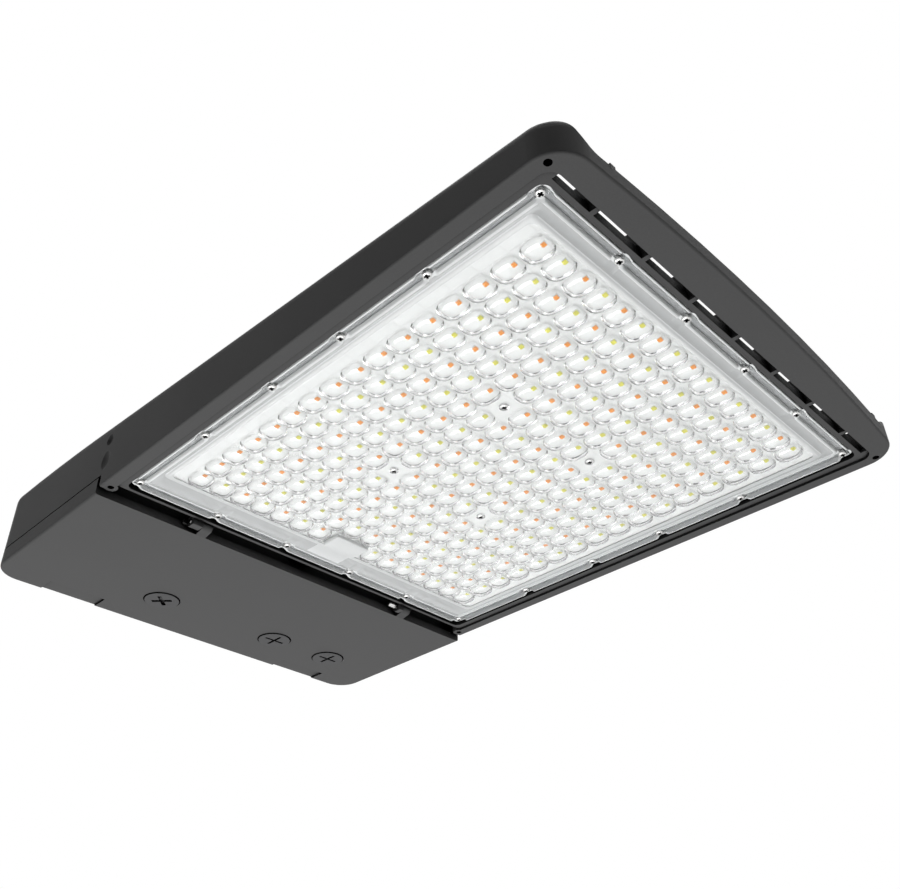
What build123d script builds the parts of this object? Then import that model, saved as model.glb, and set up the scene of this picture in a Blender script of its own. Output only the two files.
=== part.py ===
from build123d import *
from math import cos, radians, sin, tan
import os

os.makedirs("parts", exist_ok=True)

# Area light: a cast wedge-shaped housing, an LED tray under moulded optics and a hinged driver door.
# Millimetres. +Y runs to the nose, +Z is up, the origin is where a pole arm bolts to the rear wall.

# LED grid
led_columns = 16
led_rows = 16
led_pitch_x = 17.0
led_pitch_y = 19.6
led_size = 3.0
led_height = 0.7
led_forward = 4.0
screw_cell_inset = 5
blank_half_columns = 1

# Optics
optic_margin_x = 31.8
optic_margin_front = 30.0
optic_margin_rear = 36.7
lens_corner_radius = 4.0
flange_thickness = 2.0
platform_margin_x = 20.0
platform_margin_y = 14.0
platform_height = 1.0
platform_corner_radius = 4.0
dome_width = 15.4
dome_length = 18.0
dome_corner_radius = 6.0
dome_height = 3.0
dome_draft = 28.0
blank_height = 2.5
blank_width = 30.0
lens_gap = 1.2
lens_rear_gap = 2.8
lens_recess = 1.8
flange_rib_width = 1.5
flange_rib_height = 2.5

# Board, pad and gasket
board_margin_x = 17.5
board_margin_y = 11.5
board_thickness = 1.6
pad_thickness = 0.5
cavity_clearance = 1.0
gasket_inset = 0.8
gasket_height = 0.8
connector_width = 22.0
connector_length = 10.0
connector_height = 2.2
connector_room = 0.4

# Rim and casting walls
wall = 4.0
rim_face_width = 8.95
ledge_width = 5.25
ledge_step = 1.7
ledge_corner_radius = 8.0
flange_recess = 3.0
cavity_depth = 0.3
floor_thickness = 5.0
rim_edge_radius = 1.5
top_edge_radius = 10.0

# Lengths from rear to nose
bay_depth = 144.0
bay_wall = 4.0
trough_width = 17.0
rear_ledge = 2.5
front_ledge = 3.3
slot_width = 5.1
nose_depth = 19.7
front_bow = 6.5
rear_corner_radius = 20.0
front_corner_radius = 21.0

# Heights about the arm's axis
roof_height = 27.5
roof_thickness = 4.0
rim_drop = 32.7
seam_drop = 23.5
door_drop = 37.0
roof_flat_length = 20.0
roof_bend_length = 116.0
wedge_angle = 3.9

# Nose, vents and fins
nose_plate = 4.0
lip_height = 9.5
swoop_length = 28.0
nub_size = 4.0
nub_height = 2.0
nub_inset = 36.7
rib_pitch = 43.0
rib_count = 7
rib_width = 3.0
vent_end_inset = 15.9
front_frame = 2.2
front_frame_height = 6.5
fin_thickness = 3.0
fin_drop = 6.0
fin_front_setback = 30.0
short_fin_setback = 58.0

# Door
door_wall = 3.0
door_floor = 3.0
door_edge_radius = 2.0
door_front_lip = 6.0
seam_gap = 1.0
trough_mouth = 10.0
rim_end_gap = 3.5
skirt_gap = 1.5
skirt_wall = 3.0
skirt_clearance = 1.5
seal_gap = 0.2
flange_drop = 15.0
pocket_x = 112.0
pocket_width = 46.0
pocket_length = 17.0
pocket_depth = 1.7

# Door hinge
hinge_setback = 5.0
hinge_rise = 5.5
hinge_pin_radius = 2.0
running_clearance = 0.05
hinge_eye_radius = 4.2
arm_width = 8.0
arm_gap = 0.8
left_arm_x = 92.0
right_arm_x = -104.0
left_lug_width = 8.0
right_lug_width = 4.0
pin_tail = 8.0
foot_length = 5.0
foot_width = 3.0
foot_thickness = 1.8

# Turn locks and port plug
lock_x = 56.0
lock_y = 47.5
port_x = -115.5
head_radius = 13.5
head_gap = 1.0
head_thickness = 2.0
head_proud = 0.8
head_seat_gap = 0.1
boss_radius = 18.0
boss_height = 3.0
lock_shaft_radius = 4.0
keeper_drop = 24.0
keeper_thickness = 4.0
keeper_width = 30.0
keeper_margin = 15.0
keeper_slot_length = 24.0
keeper_play = 1.0
cam_length = 18.0
cam_width = 6.0
cam_thickness = 3.0
cam_gap = 0.5
lock_slot_length = 16.0
lock_slot_width = 3.2
plug_slot_length = 18.0
plug_slot_width = 2.2
head_slot_depth = 2.0
port_radius = 10.0
port_skirt = 6.0
seal_width = 1.6
seal_height = 1.0
port_seal_radius = 11.2
lock_seal_radius = 7.0

# Driver bay contents
electronics_height = 17.0
standoff_radius = 5.0
driver_length = 200.0
driver_width = 66.0
driver_height = 34.0
driver_y = 60.0
ear_length = 16.0
ear_thickness = 3.0
ear_hole_inset = 9.0
ear_screw_inset = 10.0
driver_edge_radius = 2.0
surge_x = 125.0
surge_y = 36.0
surge_size_x = 50.0
surge_size_y = 36.0
surge_height = 26.0
surge_screw_inset = 6.0
terminal_y = 40.0
terminal_size_x = 50.0
terminal_size_y = 20.0
terminal_height = 15.5
terminal_screw_inset = 4.0
terminal_poles = 3
terminal_pitch = 12.0
selector_y = 48.0
selector_board_x = 46.0
selector_board_y = 27.0
selector_board_drop = 18.4
selector_post_radius = 3.5
selector_post_inset = 5.0
switch_length = 13.0
switch_width = 6.0
switch_height = 5.0
switch_spacing = 9.0
knob_size = 2.6
knob_height = 2.5
knob_stem = 1.5
knob_clearance = 0.1
switch_travel = 2.0
ground_x = 140.0
ground_y = 100.0
ground_boss_drop = 5.0

# Screws
screw_clearance = 0.05
lens_screw_radius = 1.5
lens_screw_head_radius = 2.8
lens_screw_head_height = 1.9
lens_screw_depth = 3.5
lens_screw_inset_x = 4.7
lens_screw_inset_y = 5.5
lens_screw_side_near = 31.0
lens_screw_side_far = 99.0
lens_screw_end_pitch = 61.5
lens_hole_radius = 1.7
well_gap = 0.5
well_depth = 1.4
post_radius = 5.0
fixing_radius = 2.0
fixing_head_radius = 3.6
fixing_head_height = 2.6
fixing_depth = 5.0
recess_width = 0.7
recess_depth = 1.0

# Mounts
arm_bolt_spacing = 90.0
arm_bolt_radius = 5.5
arm_pad_width = 126.0
arm_pad_height = 30.0
arm_pad_depth = 10.0
wire_entry_radius = 10.0
wire_bore_radius = 5.0
grommet_flange = 3.0
grommet_lip = 2.0
shield_hole_radius = 2.2
shield_hole_depth = 9.0
shield_hole_inset = 6.4
shield_front_offset = 0.4
shield_rear_offset = 2.5
shield_boss_radius = 4.8

# Internal leads
duct_height = 10.0
duct_half_width = 8.0
duct_bore = 3.6
duct_end = 9.0
dc_lead_radius = 2.0
wire_radius = 1.2
wire_spacing = 4.0
lead_bend = 6.0
lead_end_gap = 22.0

# Finger dents in the side walls
dent_setback = 5.0
lower_dent_length = 11.0
lower_dent_height = 15.0
lower_dent_depth = 1.5
lower_dent_drop = 12.5
upper_dent_length = 8.0
upper_dent_height = 9.0
upper_dent_depth = 1.8
upper_dent_rise = 4.5
overcut = 5.0

# Places worked out from the sizes above
grid_half_x = (led_columns - 1) * led_pitch_x / 2
grid_half_y = (led_rows - 1) * led_pitch_y / 2
lens_half_x = grid_half_x + optic_margin_x
lens_half_y = grid_half_y + (optic_margin_front + optic_margin_rear) / 2
platform_half_x = grid_half_x + platform_margin_x
platform_half_y = grid_half_y + platform_margin_y
pocket_half_x = lens_half_x + lens_gap
pocket_half_y = lens_half_y + (lens_gap + lens_rear_gap) / 2
board_half_x = grid_half_x + board_margin_x
board_half_y = grid_half_y + board_margin_y
cavity_half_x = board_half_x + cavity_clearance
cavity_half_y = board_half_y + cavity_clearance
ledge_half_x = pocket_half_x + ledge_width
half_width = ledge_half_x + rim_face_width
body_width = 2 * half_width

bay_front_y = bay_depth + bay_wall
tray_rear_y = bay_front_y + trough_width
pocket_y = tray_rear_y + rear_ledge + pocket_half_y
lens_y = pocket_y + (lens_rear_gap - lens_gap) / 2
optic_y = lens_y + (optic_margin_rear - optic_margin_front) / 2
slot_rear_y = pocket_y + pocket_half_y + front_ledge
slot_front_y = slot_rear_y + slot_width
body_length = slot_front_y + nose_depth
rim_rear_y = tray_rear_y - trough_mouth + rim_end_gap
door_front_y = tray_rear_y - trough_mouth
fins_rear_y = tray_rear_y + bay_wall + wall
frame_step_y = slot_rear_y - front_frame

rim_z = -rim_drop
seam_z = -seam_drop
door_z = -door_drop
door_floor_z = door_z + door_floor
skirt_z = door_floor_z + skirt_clearance
flange_z = -flange_drop
ledge_z = rim_z + ledge_step
flange_face_z = ledge_z + flange_recess
lens_back_z = flange_face_z + flange_thickness
recess_roof_z = lens_back_z - lens_recess
seat_z = lens_back_z + gasket_height
tray_z = seat_z + cavity_depth
tray_top_z = tray_z + floor_thickness
frame_top_z = ledge_z + front_frame_height
nose_top_z = rim_z + nose_plate
lip_z = rim_z + lip_height
pad_z = tray_z - pad_thickness
board_z = pad_z - board_thickness
platform_z = flange_face_z - platform_height

bend_radius = roof_bend_length / sin(radians(wedge_angle))
bend_end_y = roof_flat_length + roof_bend_length
bend_end_z = roof_height - bend_radius * (1 - cos(radians(wedge_angle)))

hinge_y = tray_rear_y - hinge_setback
hinge_z = door_z + hinge_rise
boss_top_z = door_floor_z + boss_height
head_top_z = door_z + head_thickness
recess_z = head_top_z + head_seat_gap
keeper_z = -keeper_drop
cam_z = keeper_z + keeper_thickness + cam_gap
selector_z = -selector_board_drop
switch_z = selector_z - board_thickness
driver_front_y = driver_y + driver_width
lead_y = (driver_front_y + bay_depth) / 2
duct_z = tray_top_z + duct_height
dc_end_y = optic_y - grid_half_y

BASE = (Align.CENTER, Align.CENTER, Align.MIN)
HUNG = (Align.CENTER, Align.CENTER, Align.MAX)
AHEAD = (Align.CENTER, Align.MIN, Align.MIN)

screw_cells = [
    (column, row)
    for column in (screw_cell_inset, led_columns - 1 - screw_cell_inset)
    for row in (screw_cell_inset, led_rows - 1 - screw_cell_inset)
]
blank_cells = [
    (column, led_rows - 1)
    for column in range(led_columns // 2 - blank_half_columns, led_columns // 2 + blank_half_columns)
]


def cell(column, row):
    """Centre of an LED cell, columns counted from +X and rows from the nose."""
    return grid_half_x - column * led_pitch_x, optic_y + grid_half_y - row * led_pitch_y


def led_place(column, row):
    """Place of an LED, set forward under its dome so that the light is thrown ahead."""
    x, y = cell(column, row)
    return x, y + led_forward


def wedge_height(y):
    """Height of the sloping top behind the bend."""
    return bend_end_z - (y - bend_end_y) * tan(radians(wedge_angle))


lit_cells = [
    (column, row)
    for column in range(led_columns)
    for row in range(led_rows)
    if (column, row) not in screw_cells + blank_cells
]
dome_places = [cell(column, row) for column, row in lit_cells]
warm_places = [led_place(column, row) for column, row in lit_cells if column % 2 == 0]
cool_places = [led_place(column, row) for column, row in lit_cells if column % 2 == 1]
centre_screw_places = [cell(column, row) for column, row in screw_cells]
blank_place = (0, dc_end_y)

screw_x = lens_half_x - lens_screw_inset_x
screw_y = lens_half_y - lens_screw_inset_y
side_steps = (-lens_screw_side_far, -lens_screw_side_near, lens_screw_side_near, lens_screw_side_far)
end_steps = [lens_screw_end_pitch * (step - 1.5) for step in range(4)]
lens_screw_places = [(x, lens_y + y) for x in (-screw_x, screw_x) for y in (-screw_y, *side_steps, screw_y)]
lens_screw_places += [(x, lens_y + y) for y in (-screw_y, screw_y) for x in end_steps]

rib_places = [rib_pitch * (rib - (rib_count - 1) / 2) for rib in range(rib_count)]
short_fin_places = [rib_pitch * (rib - rib_count / 2) for rib in range(rib_count + 1)]
vent_half = half_width - vent_end_inset
vent_ends = [-vent_half] + rib_places + [vent_half]

shield_x = half_width - shield_hole_inset
shield_places = [
    (side * shield_x, y)
    for side in (-1, 1)
    for y in (slot_front_y + shield_front_offset, tray_rear_y - shield_rear_offset)
]

driver_screw_places = [
    (side * (driver_length / 2 + ear_hole_inset), y)
    for side in (-1, 1)
    for y in (driver_y + ear_screw_inset, driver_front_y - ear_screw_inset)
]
surge_screw_places = [
    (surge_x + side * (surge_size_x / 2 - surge_screw_inset), surge_y) for side in (-1, 1)
]
terminal_screw_places = [
    (side * (terminal_size_x / 2 - terminal_screw_inset), terminal_y) for side in (-1, 1)
]
selector_post_places = [
    (port_x + side * (selector_board_x / 2 - selector_post_inset), selector_y) for side in (-1, 1)
]
hung_places = driver_screw_places + surge_screw_places + terminal_screw_places

# Shared outlines
with BuildSketch() as outline:
    with BuildLine():
        rear_edge = Line((-half_width, 0), (half_width, 0))
        side_edge = Line(rear_edge @ 1, (half_width, body_length - front_bow))
        nose_edge = ThreePointArc(side_edge @ 1, (0, body_length), (-half_width, body_length - front_bow))
        Line(nose_edge @ 1, rear_edge @ 0)
    make_face()
    fillet(outline.vertices().sort_by(Axis.Y)[:2], rear_corner_radius)
    fillet(outline.vertices().sort_by(Axis.Y)[-2:], front_corner_radius)

with BuildSketch() as inner_outline:
    add(outline.sketch)
    offset(amount=-wall)

with BuildSketch() as wedge:
    with BuildLine():
        roof_line = Line((-overcut, roof_height), (roof_flat_length, roof_height))
        bend = JernArc(roof_line @ 1, (1, 0), bend_radius, -wedge_angle)
        slope = Line(bend @ 1, (body_length + overcut, wedge_height(body_length + overcut)))
        Polyline(slope @ 1, (body_length + overcut, door_z), (-overcut, door_z), roof_line @ 0)
    make_face()

# Space of the driver bay, its sealing skirt and the trough in front of it
skirt_inset = door_wall + skirt_gap
skirt_half = half_width - skirt_inset
skirt_bore = skirt_inset + skirt_wall
trough_half = shield_x - shield_hole_radius - rim_edge_radius
with BuildPart() as bay_space:
    with BuildSketch(Plane.XY.offset(flange_z)) as bay_plan:
        with Locations((0, wall)):
            Rectangle(body_width - 2 * wall, bay_depth - wall, align=(Align.CENTER, Align.MIN))
        fillet(bay_plan.vertices().group_by(Axis.Y)[0], rear_corner_radius - wall)
    extrude(amount=roof_height - flange_z)
    with BuildSketch(Plane.XY.offset(skirt_z - overcut)) as skirt_plan:
        with Locations((0, skirt_bore)):
            Rectangle(body_width - 2 * skirt_bore, bay_depth - skirt_bore, align=(Align.CENTER, Align.MIN))
        fillet(skirt_plan.vertices().group_by(Axis.Y)[0], rear_corner_radius - skirt_bore)
    extrude(amount=flange_z - skirt_z + overcut)
    with Locations((0, bay_front_y, rim_z - overcut)):
        Box(2 * trough_half, trough_width, roof_height - rim_z + overcut, align=AHEAD)
    with BuildSketch(Plane.YZ):
        with Locations((0, -roof_thickness)):
            add(wedge.sketch)
    extrude(amount=body_width, both=True, mode=Mode.INTERSECT)

# Posts under the bay roof, cut off inside its thickness
with BuildPart() as posts:
    for places, radius, face_z in (
        (hung_places, standoff_radius, electronics_height),
        (selector_post_places, selector_post_radius, selector_z),
        ([(ground_x, ground_y)], standoff_radius, electronics_height - ground_boss_drop),
    ):
        with BuildSketch(Plane.XY.offset(face_z)):
            with Locations(*places):
                Circle(radius)
        extrude(amount=roof_height - face_z)
    with BuildSketch(Plane.YZ):
        with Locations((0, -roof_thickness / 2)):
            add(wedge.sketch)
    extrude(amount=body_width, both=True, mode=Mode.INTERSECT)

# Heat sink fins, long ones over the vent ribs and short ones between
fin_front_y = slot_front_y - fin_front_setback + nose_depth
fin_rear = (fins_rear_y - overcut, wedge_height(fins_rear_y - overcut) - fin_drop)
fin_foot = (fins_rear_y - overcut, tray_top_z - roof_thickness / 4)
with BuildPart() as fins:
    for x in rib_places:
        with BuildSketch(Plane.YZ.offset(x)):
            with BuildLine():
                Polyline(
                    fin_foot,
                    (frame_step_y - roof_thickness, fin_foot[1]),
                    (frame_step_y - roof_thickness, frame_top_z - roof_thickness / 4),
                    (slot_rear_y - rib_width / 2, frame_top_z - roof_thickness / 4),
                    (slot_rear_y - rib_width / 2, nose_top_z - roof_thickness / 4),
                    (body_length - front_bow, nose_top_z - roof_thickness / 4),
                    (body_length - front_bow, nose_top_z + roof_thickness / 4),
                    (fin_front_y, wedge_height(fin_front_y) - fin_drop),
                    fin_rear,
                    close=True,
                )
            make_face()
        extrude(amount=fin_thickness / 2, both=True)
    for x in short_fin_places:
        with BuildSketch(Plane.YZ.offset(x)):
            with BuildLine():
                short_front_y = slot_rear_y - short_fin_setback + fin_drop
                Polyline(
                    fin_foot,
                    (short_front_y + fin_drop, fin_foot[1]),
                    (short_front_y, wedge_height(short_front_y) - fin_drop),
                    fin_rear,
                    close=True,
                )
            make_face()
        extrude(amount=fin_thickness / 2, both=True)

# Bosses of the shield holes, kept inside the outline
with BuildPart() as shield_bosses:
    with Locations(*[(x, y, rim_z) for x, y in shield_places]):
        Cylinder(shield_boss_radius, shield_hole_depth + ledge_step, align=BASE)
    with BuildSketch(Plane.XY.offset(rim_z)) as boss_limit:
        add(outline.sketch)
        offset(amount=-rim_edge_radius)
    extrude(amount=shield_hole_depth + ledge_step, mode=Mode.INTERSECT)


def dent_cutter(length, height, depth):
    """Barrel standing on end at the origin, which cuts an oval dent where its flank enters a wall."""
    girth = (length**2 / 4 + depth**2) / (2 * depth)
    flank = (height**2 / 4 + depth**2) / (2 * depth)
    reach = height / 2 + depth
    waist = girth - flank + (flank**2 - reach**2) ** 0.5
    with BuildPart() as barrel:
        with BuildSketch(Plane.XZ):
            with BuildLine():
                side = ThreePointArc((waist, -reach), (girth, 0), (waist, reach))
                Polyline(side @ 1, (0, reach), (0, -reach), side @ 0)
            make_face()
        revolve(axis=Axis.Z)
    return barrel.part, girth - depth


dents = [
    (*dent_cutter(lower_dent_length, lower_dent_height, lower_dent_depth), -lower_dent_drop),
    (*dent_cutter(upper_dent_length, upper_dent_height, upper_dent_depth), upper_dent_rise),
]

# Housing casting
swoop_low = half_width - swoop_length
with BuildPart() as housing:
    with BuildSketch(Plane.XY.offset(rim_z)):
        add(outline.sketch)
    extrude(amount=roof_height - rim_z)
    with BuildSketch(Plane.YZ):
        add(wedge.sketch)
    extrude(amount=body_width, both=True, mode=Mode.INTERSECT)
    top_faces = housing.faces().filter_by(lambda face: face.normal_at().Z > 0.9)
    top_edges = top_faces.edges()
    top_edges = top_edges.filter_by(lambda edge: abs(edge.center().X) > wall or edge.center().Y < wall)
    fillet(top_edges, top_edge_radius)
    fillet(housing.edges().group_by(Axis.Z)[0], rim_edge_radius)

    # Open top over the tray, the front frame and the nose plate
    for floor_z, start_y, end_y in (
        (tray_top_z, fins_rear_y, frame_step_y),
        (frame_top_z, frame_step_y, slot_rear_y),
        (nose_top_z, slot_rear_y, body_length),
    ):
        with BuildSketch(Plane.XY.offset(floor_z)):
            add(inner_outline.sketch)
            with Locations((0, start_y)):
                Rectangle(body_width, end_y - start_y, align=(Align.CENTER, Align.MIN), mode=Mode.INTERSECT)
        extrude(amount=roof_height - floor_z, mode=Mode.SUBTRACT)

    # Side walls swoop down round the front corners to the nose lip
    with BuildSketch(Plane.XZ.offset(-slot_rear_y)):
        with BuildLine():
            swoop_top = wedge_height(slot_rear_y) + overcut
            lip_line = Line((-swoop_low, lip_z), (swoop_low, lip_z))
            corner = (half_width + wall / 2, wedge_height(body_length))
            right_swoop = Spline(lip_line @ 1, corner, tangents=((1, 0), (1, 0)))
            left_swoop = Spline(lip_line @ 0, (-corner[0], corner[1]), tangents=((-1, 0), (-1, 0)))
            Polyline(right_swoop @ 1, (corner[0], swoop_top), (-corner[0], swoop_top), left_swoop @ 1)
        make_face()
    extrude(amount=-(nose_depth + slot_width + overcut), mode=Mode.SUBTRACT)

    # Driver bay below the seam, with the skirt that presses on the door's gasket
    with Locations((0, -overcut, rim_z - overcut)):
        Box(
            body_width + 2 * overcut,
            rim_rear_y + overcut,
            seam_z - rim_z + overcut,
            align=AHEAD,
            mode=Mode.SUBTRACT,
        )
    with BuildSketch(Plane.XY.offset(skirt_z)) as skirt:
        with Locations((0, skirt_inset)):
            Rectangle(2 * skirt_half, bay_front_y - skirt_inset, align=(Align.CENTER, Align.MIN))
        fillet(skirt.vertices().group_by(Axis.Y)[0], rear_corner_radius - skirt_inset)
    extrude(amount=seam_z - skirt_z + wall)
    add(bay_space.part, mode=Mode.SUBTRACT)

    # Shield tabs and bosses, then the fins and the sealed wire duct
    add(shield_bosses.part)
    add(fins.part)
    with Locations((0, bay_front_y - bay_wall / 2, tray_top_z - floor_thickness / 2)):
        Box(
            2 * duct_half_width,
            dc_end_y + duct_end - bay_front_y + bay_wall / 2,
            floor_thickness / 2 + duct_height + duct_half_width,
            align=AHEAD,
        )

    # LED cavity, lens pocket and ledge, all from below
    with Locations((0, optic_y, rim_z - overcut)):
        Box(2 * cavity_half_x, 2 * cavity_half_y, tray_z - rim_z + overcut, align=BASE, mode=Mode.SUBTRACT)
    with BuildSketch(Plane.XY.offset(rim_z - overcut)):
        with Locations((0, pocket_y)):
            RectangleRounded(2 * pocket_half_x, 2 * pocket_half_y, lens_corner_radius + lens_gap)
    extrude(amount=seat_z - rim_z + overcut, mode=Mode.SUBTRACT)
    with BuildSketch(Plane.XY.offset(rim_z - overcut)) as ledge_plan:
        with Locations((0, tray_rear_y - overcut)):
            Rectangle(
                2 * ledge_half_x, slot_front_y - tray_rear_y + overcut, align=(Align.CENTER, Align.MIN)
            )
        fillet(ledge_plan.vertices().group_by(Axis.Y)[-1], ledge_corner_radius)
        with Locations(*shield_places):
            Circle(shield_boss_radius, mode=Mode.SUBTRACT)
    extrude(amount=ledge_z - rim_z + overcut, mode=Mode.SUBTRACT)

    # Vent slots between the ribs
    for start_x, end_x in zip(vent_ends[:-1], vent_ends[1:]):
        start = start_x + (rib_width / 2 if start_x in rib_places else 0)
        end = end_x - (rib_width / 2 if end_x in rib_places else 0)
        with Locations(((start + end) / 2, slot_rear_y, rim_z - overcut)):
            Box(end - start, slot_width, nose_top_z - rim_z + 2 * overcut, align=AHEAD, mode=Mode.SUBTRACT)

    # Lens screw holes, centre screw holes and shield holes
    with Locations(*[(x, y, seat_z) for x, y in lens_screw_places]):
        Cylinder(
            lens_screw_radius + screw_clearance,
            lens_screw_depth + recess_depth,
            align=BASE,
            mode=Mode.SUBTRACT,
        )
    with Locations(*[(x, y, tray_z) for x, y in centre_screw_places]):
        Cylinder(
            lens_screw_radius + screw_clearance,
            floor_thickness - recess_width,
            align=BASE,
            mode=Mode.SUBTRACT,
        )
    with Locations(*[(x, y, rim_z) for x, y in shield_places]):
        Cylinder(shield_hole_radius, shield_hole_depth, align=BASE, mode=Mode.SUBTRACT)

    # Hinge lugs hang from the tray's rear edge, the left one with a turned foot
    for arm_x, lug_width, has_foot in (
        (left_arm_x, left_lug_width, True),
        (right_arm_x, right_lug_width, False),
    ):
        lug_x = arm_x + arm_width / 2 + arm_gap
        with BuildSketch(Plane.YZ.offset(lug_x)):
            with Locations((hinge_y, hinge_z)):
                Circle(hinge_eye_radius)
                Rectangle(
                    hinge_setback + rear_ledge, 2 * hinge_eye_radius, align=(Align.MIN, Align.CENTER)
                )
            with Locations((tray_rear_y, hinge_z - hinge_eye_radius)):
                Rectangle(
                    rear_ledge,
                    ledge_z - hinge_z + hinge_eye_radius,
                    align=(Align.MIN, Align.MIN),
                    mode=Mode.SUBTRACT,
                )
            with Locations((hinge_y, hinge_z)):
                Circle(hinge_pin_radius + running_clearance, mode=Mode.SUBTRACT)
        extrude(amount=lug_width)
        if has_foot:
            with Locations((lug_x + lug_width - foot_width / 2, hinge_y - hinge_eye_radius, hinge_z)):
                Box(foot_length, foot_thickness, foot_width, align=(Align.MIN, Align.MIN, Align.CENTER))

    # Keepers for the turn locks, on the rear wall
    for side in (-1, 1):
        with Locations((side * lock_x, skirt_inset, keeper_z)):
            Box(keeper_width, lock_y + keeper_margin - skirt_inset, keeper_thickness, align=AHEAD)
        with BuildSketch(Plane.XY.offset(keeper_z)):
            with Locations((side * lock_x, lock_y)):
                Circle(lock_shaft_radius + keeper_play)
                Rectangle(cam_width + keeper_play, keeper_slot_length)
        extrude(amount=keeper_thickness, mode=Mode.SUBTRACT)

    # Arm pad with bolt holes and the wire entry
    with Locations((0, wall / 2, 0)):
        Box(
            arm_pad_width,
            wall / 2 + arm_pad_depth,
            arm_pad_height,
            align=(Align.CENTER, Align.MIN, Align.CENTER),
        )
    with BuildSketch(Plane.XZ):
        with Locations((-arm_bolt_spacing / 2, 0), (arm_bolt_spacing / 2, 0)):
            Circle(arm_bolt_radius)
        Circle(wire_entry_radius)
    extrude(amount=-(wall + arm_pad_depth), mode=Mode.SUBTRACT)

    # Standoffs, selector posts and earth boss under the roof
    add(posts.part)
    for places, hole_radius, face_z in (
        (hung_places, fixing_radius, electronics_height),
        (selector_post_places, lens_screw_radius, selector_z),
        ([(ground_x, ground_y)], fixing_radius, electronics_height - ground_boss_drop),
    ):
        with Locations(*[(x, y, face_z) for x, y in places]):
            Cylinder(hole_radius + screw_clearance, fixing_depth, align=BASE, mode=Mode.SUBTRACT)

    # Bores of the wire duct, with the grommet's seat in the bay wall
    with BuildSketch(Plane.XZ.offset(-bay_depth)):
        with Locations((0, duct_z)):
            Circle(duct_bore)
    extrude(amount=-(dc_end_y - bay_depth), mode=Mode.SUBTRACT)
    with Locations((0, dc_end_y, tray_z)):
        Cylinder(duct_bore, duct_z - tray_z + duct_bore, align=BASE, mode=Mode.SUBTRACT)
    with BuildSketch(Plane.XZ.offset(-bay_depth)):
        with Locations((0, duct_z)):
            Circle(duct_bore + grommet_lip)
    extrude(amount=-bay_wall, mode=Mode.SUBTRACT)

    # Small details: nubs on the lip and finger dents in the side walls at the trough
    for side in (-1, 1):
        nub_x = half_width - nub_inset
        nub_y = body_length - front_bow * (nub_x / half_width) ** 2
        with Locations((side * nub_x, nub_y - wall / 2, lip_z - nub_height)):
            Box(nub_size, wall / 2 + nub_height, 2 * nub_height, align=BASE)
        for barrel, standoff, dent_z in dents:
            with Locations((side * (half_width + standoff), tray_rear_y - dent_setback, dent_z)):
                add(barrel, mode=Mode.SUBTRACT)

housing.part.label = "housing"
export_step(housing.part, "parts/housing.step")

# Optic plate: flange, raised platform, a dome over each LED, wells and posts for the centre screws
well_z = platform_z + well_depth
well_radius = lens_screw_head_radius + well_gap
with BuildPart() as dome:
    with BuildSketch():
        RectangleRounded(dome_width, dome_length, dome_corner_radius)
    extrude(amount=-dome_height, taper=dome_draft)

with BuildPart() as lens_plate:
    with BuildSketch(Plane.XY.offset(flange_face_z)):
        with Locations((0, lens_y)):
            RectangleRounded(2 * lens_half_x, 2 * lens_half_y, lens_corner_radius)
    extrude(amount=flange_thickness)
    with BuildSketch(Plane.XY.offset(flange_face_z)) as flange_rib:
        with Locations((0, lens_y)):
            RectangleRounded(2 * lens_half_x, 2 * lens_half_y, lens_corner_radius)
        offset(amount=-flange_rib_width, mode=Mode.SUBTRACT)
    extrude(amount=-flange_rib_height)
    with BuildSketch(Plane.XY.offset(flange_face_z)):
        with Locations((0, optic_y)):
            RectangleRounded(2 * platform_half_x, 2 * platform_half_y, platform_corner_radius)
    extrude(amount=-platform_height)
    with BuildSketch(Plane.XY.offset(platform_z)):
        with Locations(blank_place):
            RectangleRounded(blank_width, dome_length, well_gap)
    extrude(amount=-blank_height)
    with Locations((0, optic_y, recess_roof_z)):
        Box(2 * cavity_half_x, 2 * cavity_half_y, lens_recess, align=BASE, mode=Mode.SUBTRACT)
    with Locations((*blank_place, recess_roof_z)):
        Box(
            connector_width + 2 * connector_room,
            connector_length + 2 * connector_room,
            recess_roof_z - board_z + connector_height + connector_room,
            align=HUNG,
            mode=Mode.SUBTRACT,
        )
    with Locations(*[(x, y, recess_roof_z) for x, y in centre_screw_places]):
        Cylinder(post_radius, board_z - recess_roof_z, align=BASE)
    with Locations(*[(x, y, well_z) for x, y in centre_screw_places]):
        Cylinder(well_radius, well_depth, align=HUNG, mode=Mode.SUBTRACT)
        Cylinder(lens_hole_radius, board_z - well_z, align=BASE, mode=Mode.SUBTRACT)
    with Locations(*[(x, y, flange_face_z) for x, y in lens_screw_places]):
        Cylinder(lens_hole_radius, flange_thickness, align=BASE, mode=Mode.SUBTRACT)
    with Locations(*[(x, y, platform_z) for x, y in dome_places]):
        add(dome.part, clean=False)
lens_plate.part.label = "lens_plate"
export_step(lens_plate.part, "parts/lens_plate.step")

with BuildPart() as lens_gasket:
    with BuildSketch(Plane.XY.offset(lens_back_z)):
        with Locations((0, lens_y)):
            RectangleRounded(2 * lens_half_x, 2 * lens_half_y, lens_corner_radius)
        offset(amount=-gasket_inset)
        with Locations((0, optic_y)):
            Rectangle(
                2 * (cavity_half_x + gasket_inset), 2 * (cavity_half_y + gasket_inset), mode=Mode.SUBTRACT
            )
        with Locations(*lens_screw_places):
            Circle(lens_hole_radius, mode=Mode.SUBTRACT)
    extrude(amount=gasket_height)
lens_gasket.part.label = "lens_gasket"
export_step(lens_gasket.part, "parts/lens_gasket.step")

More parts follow.
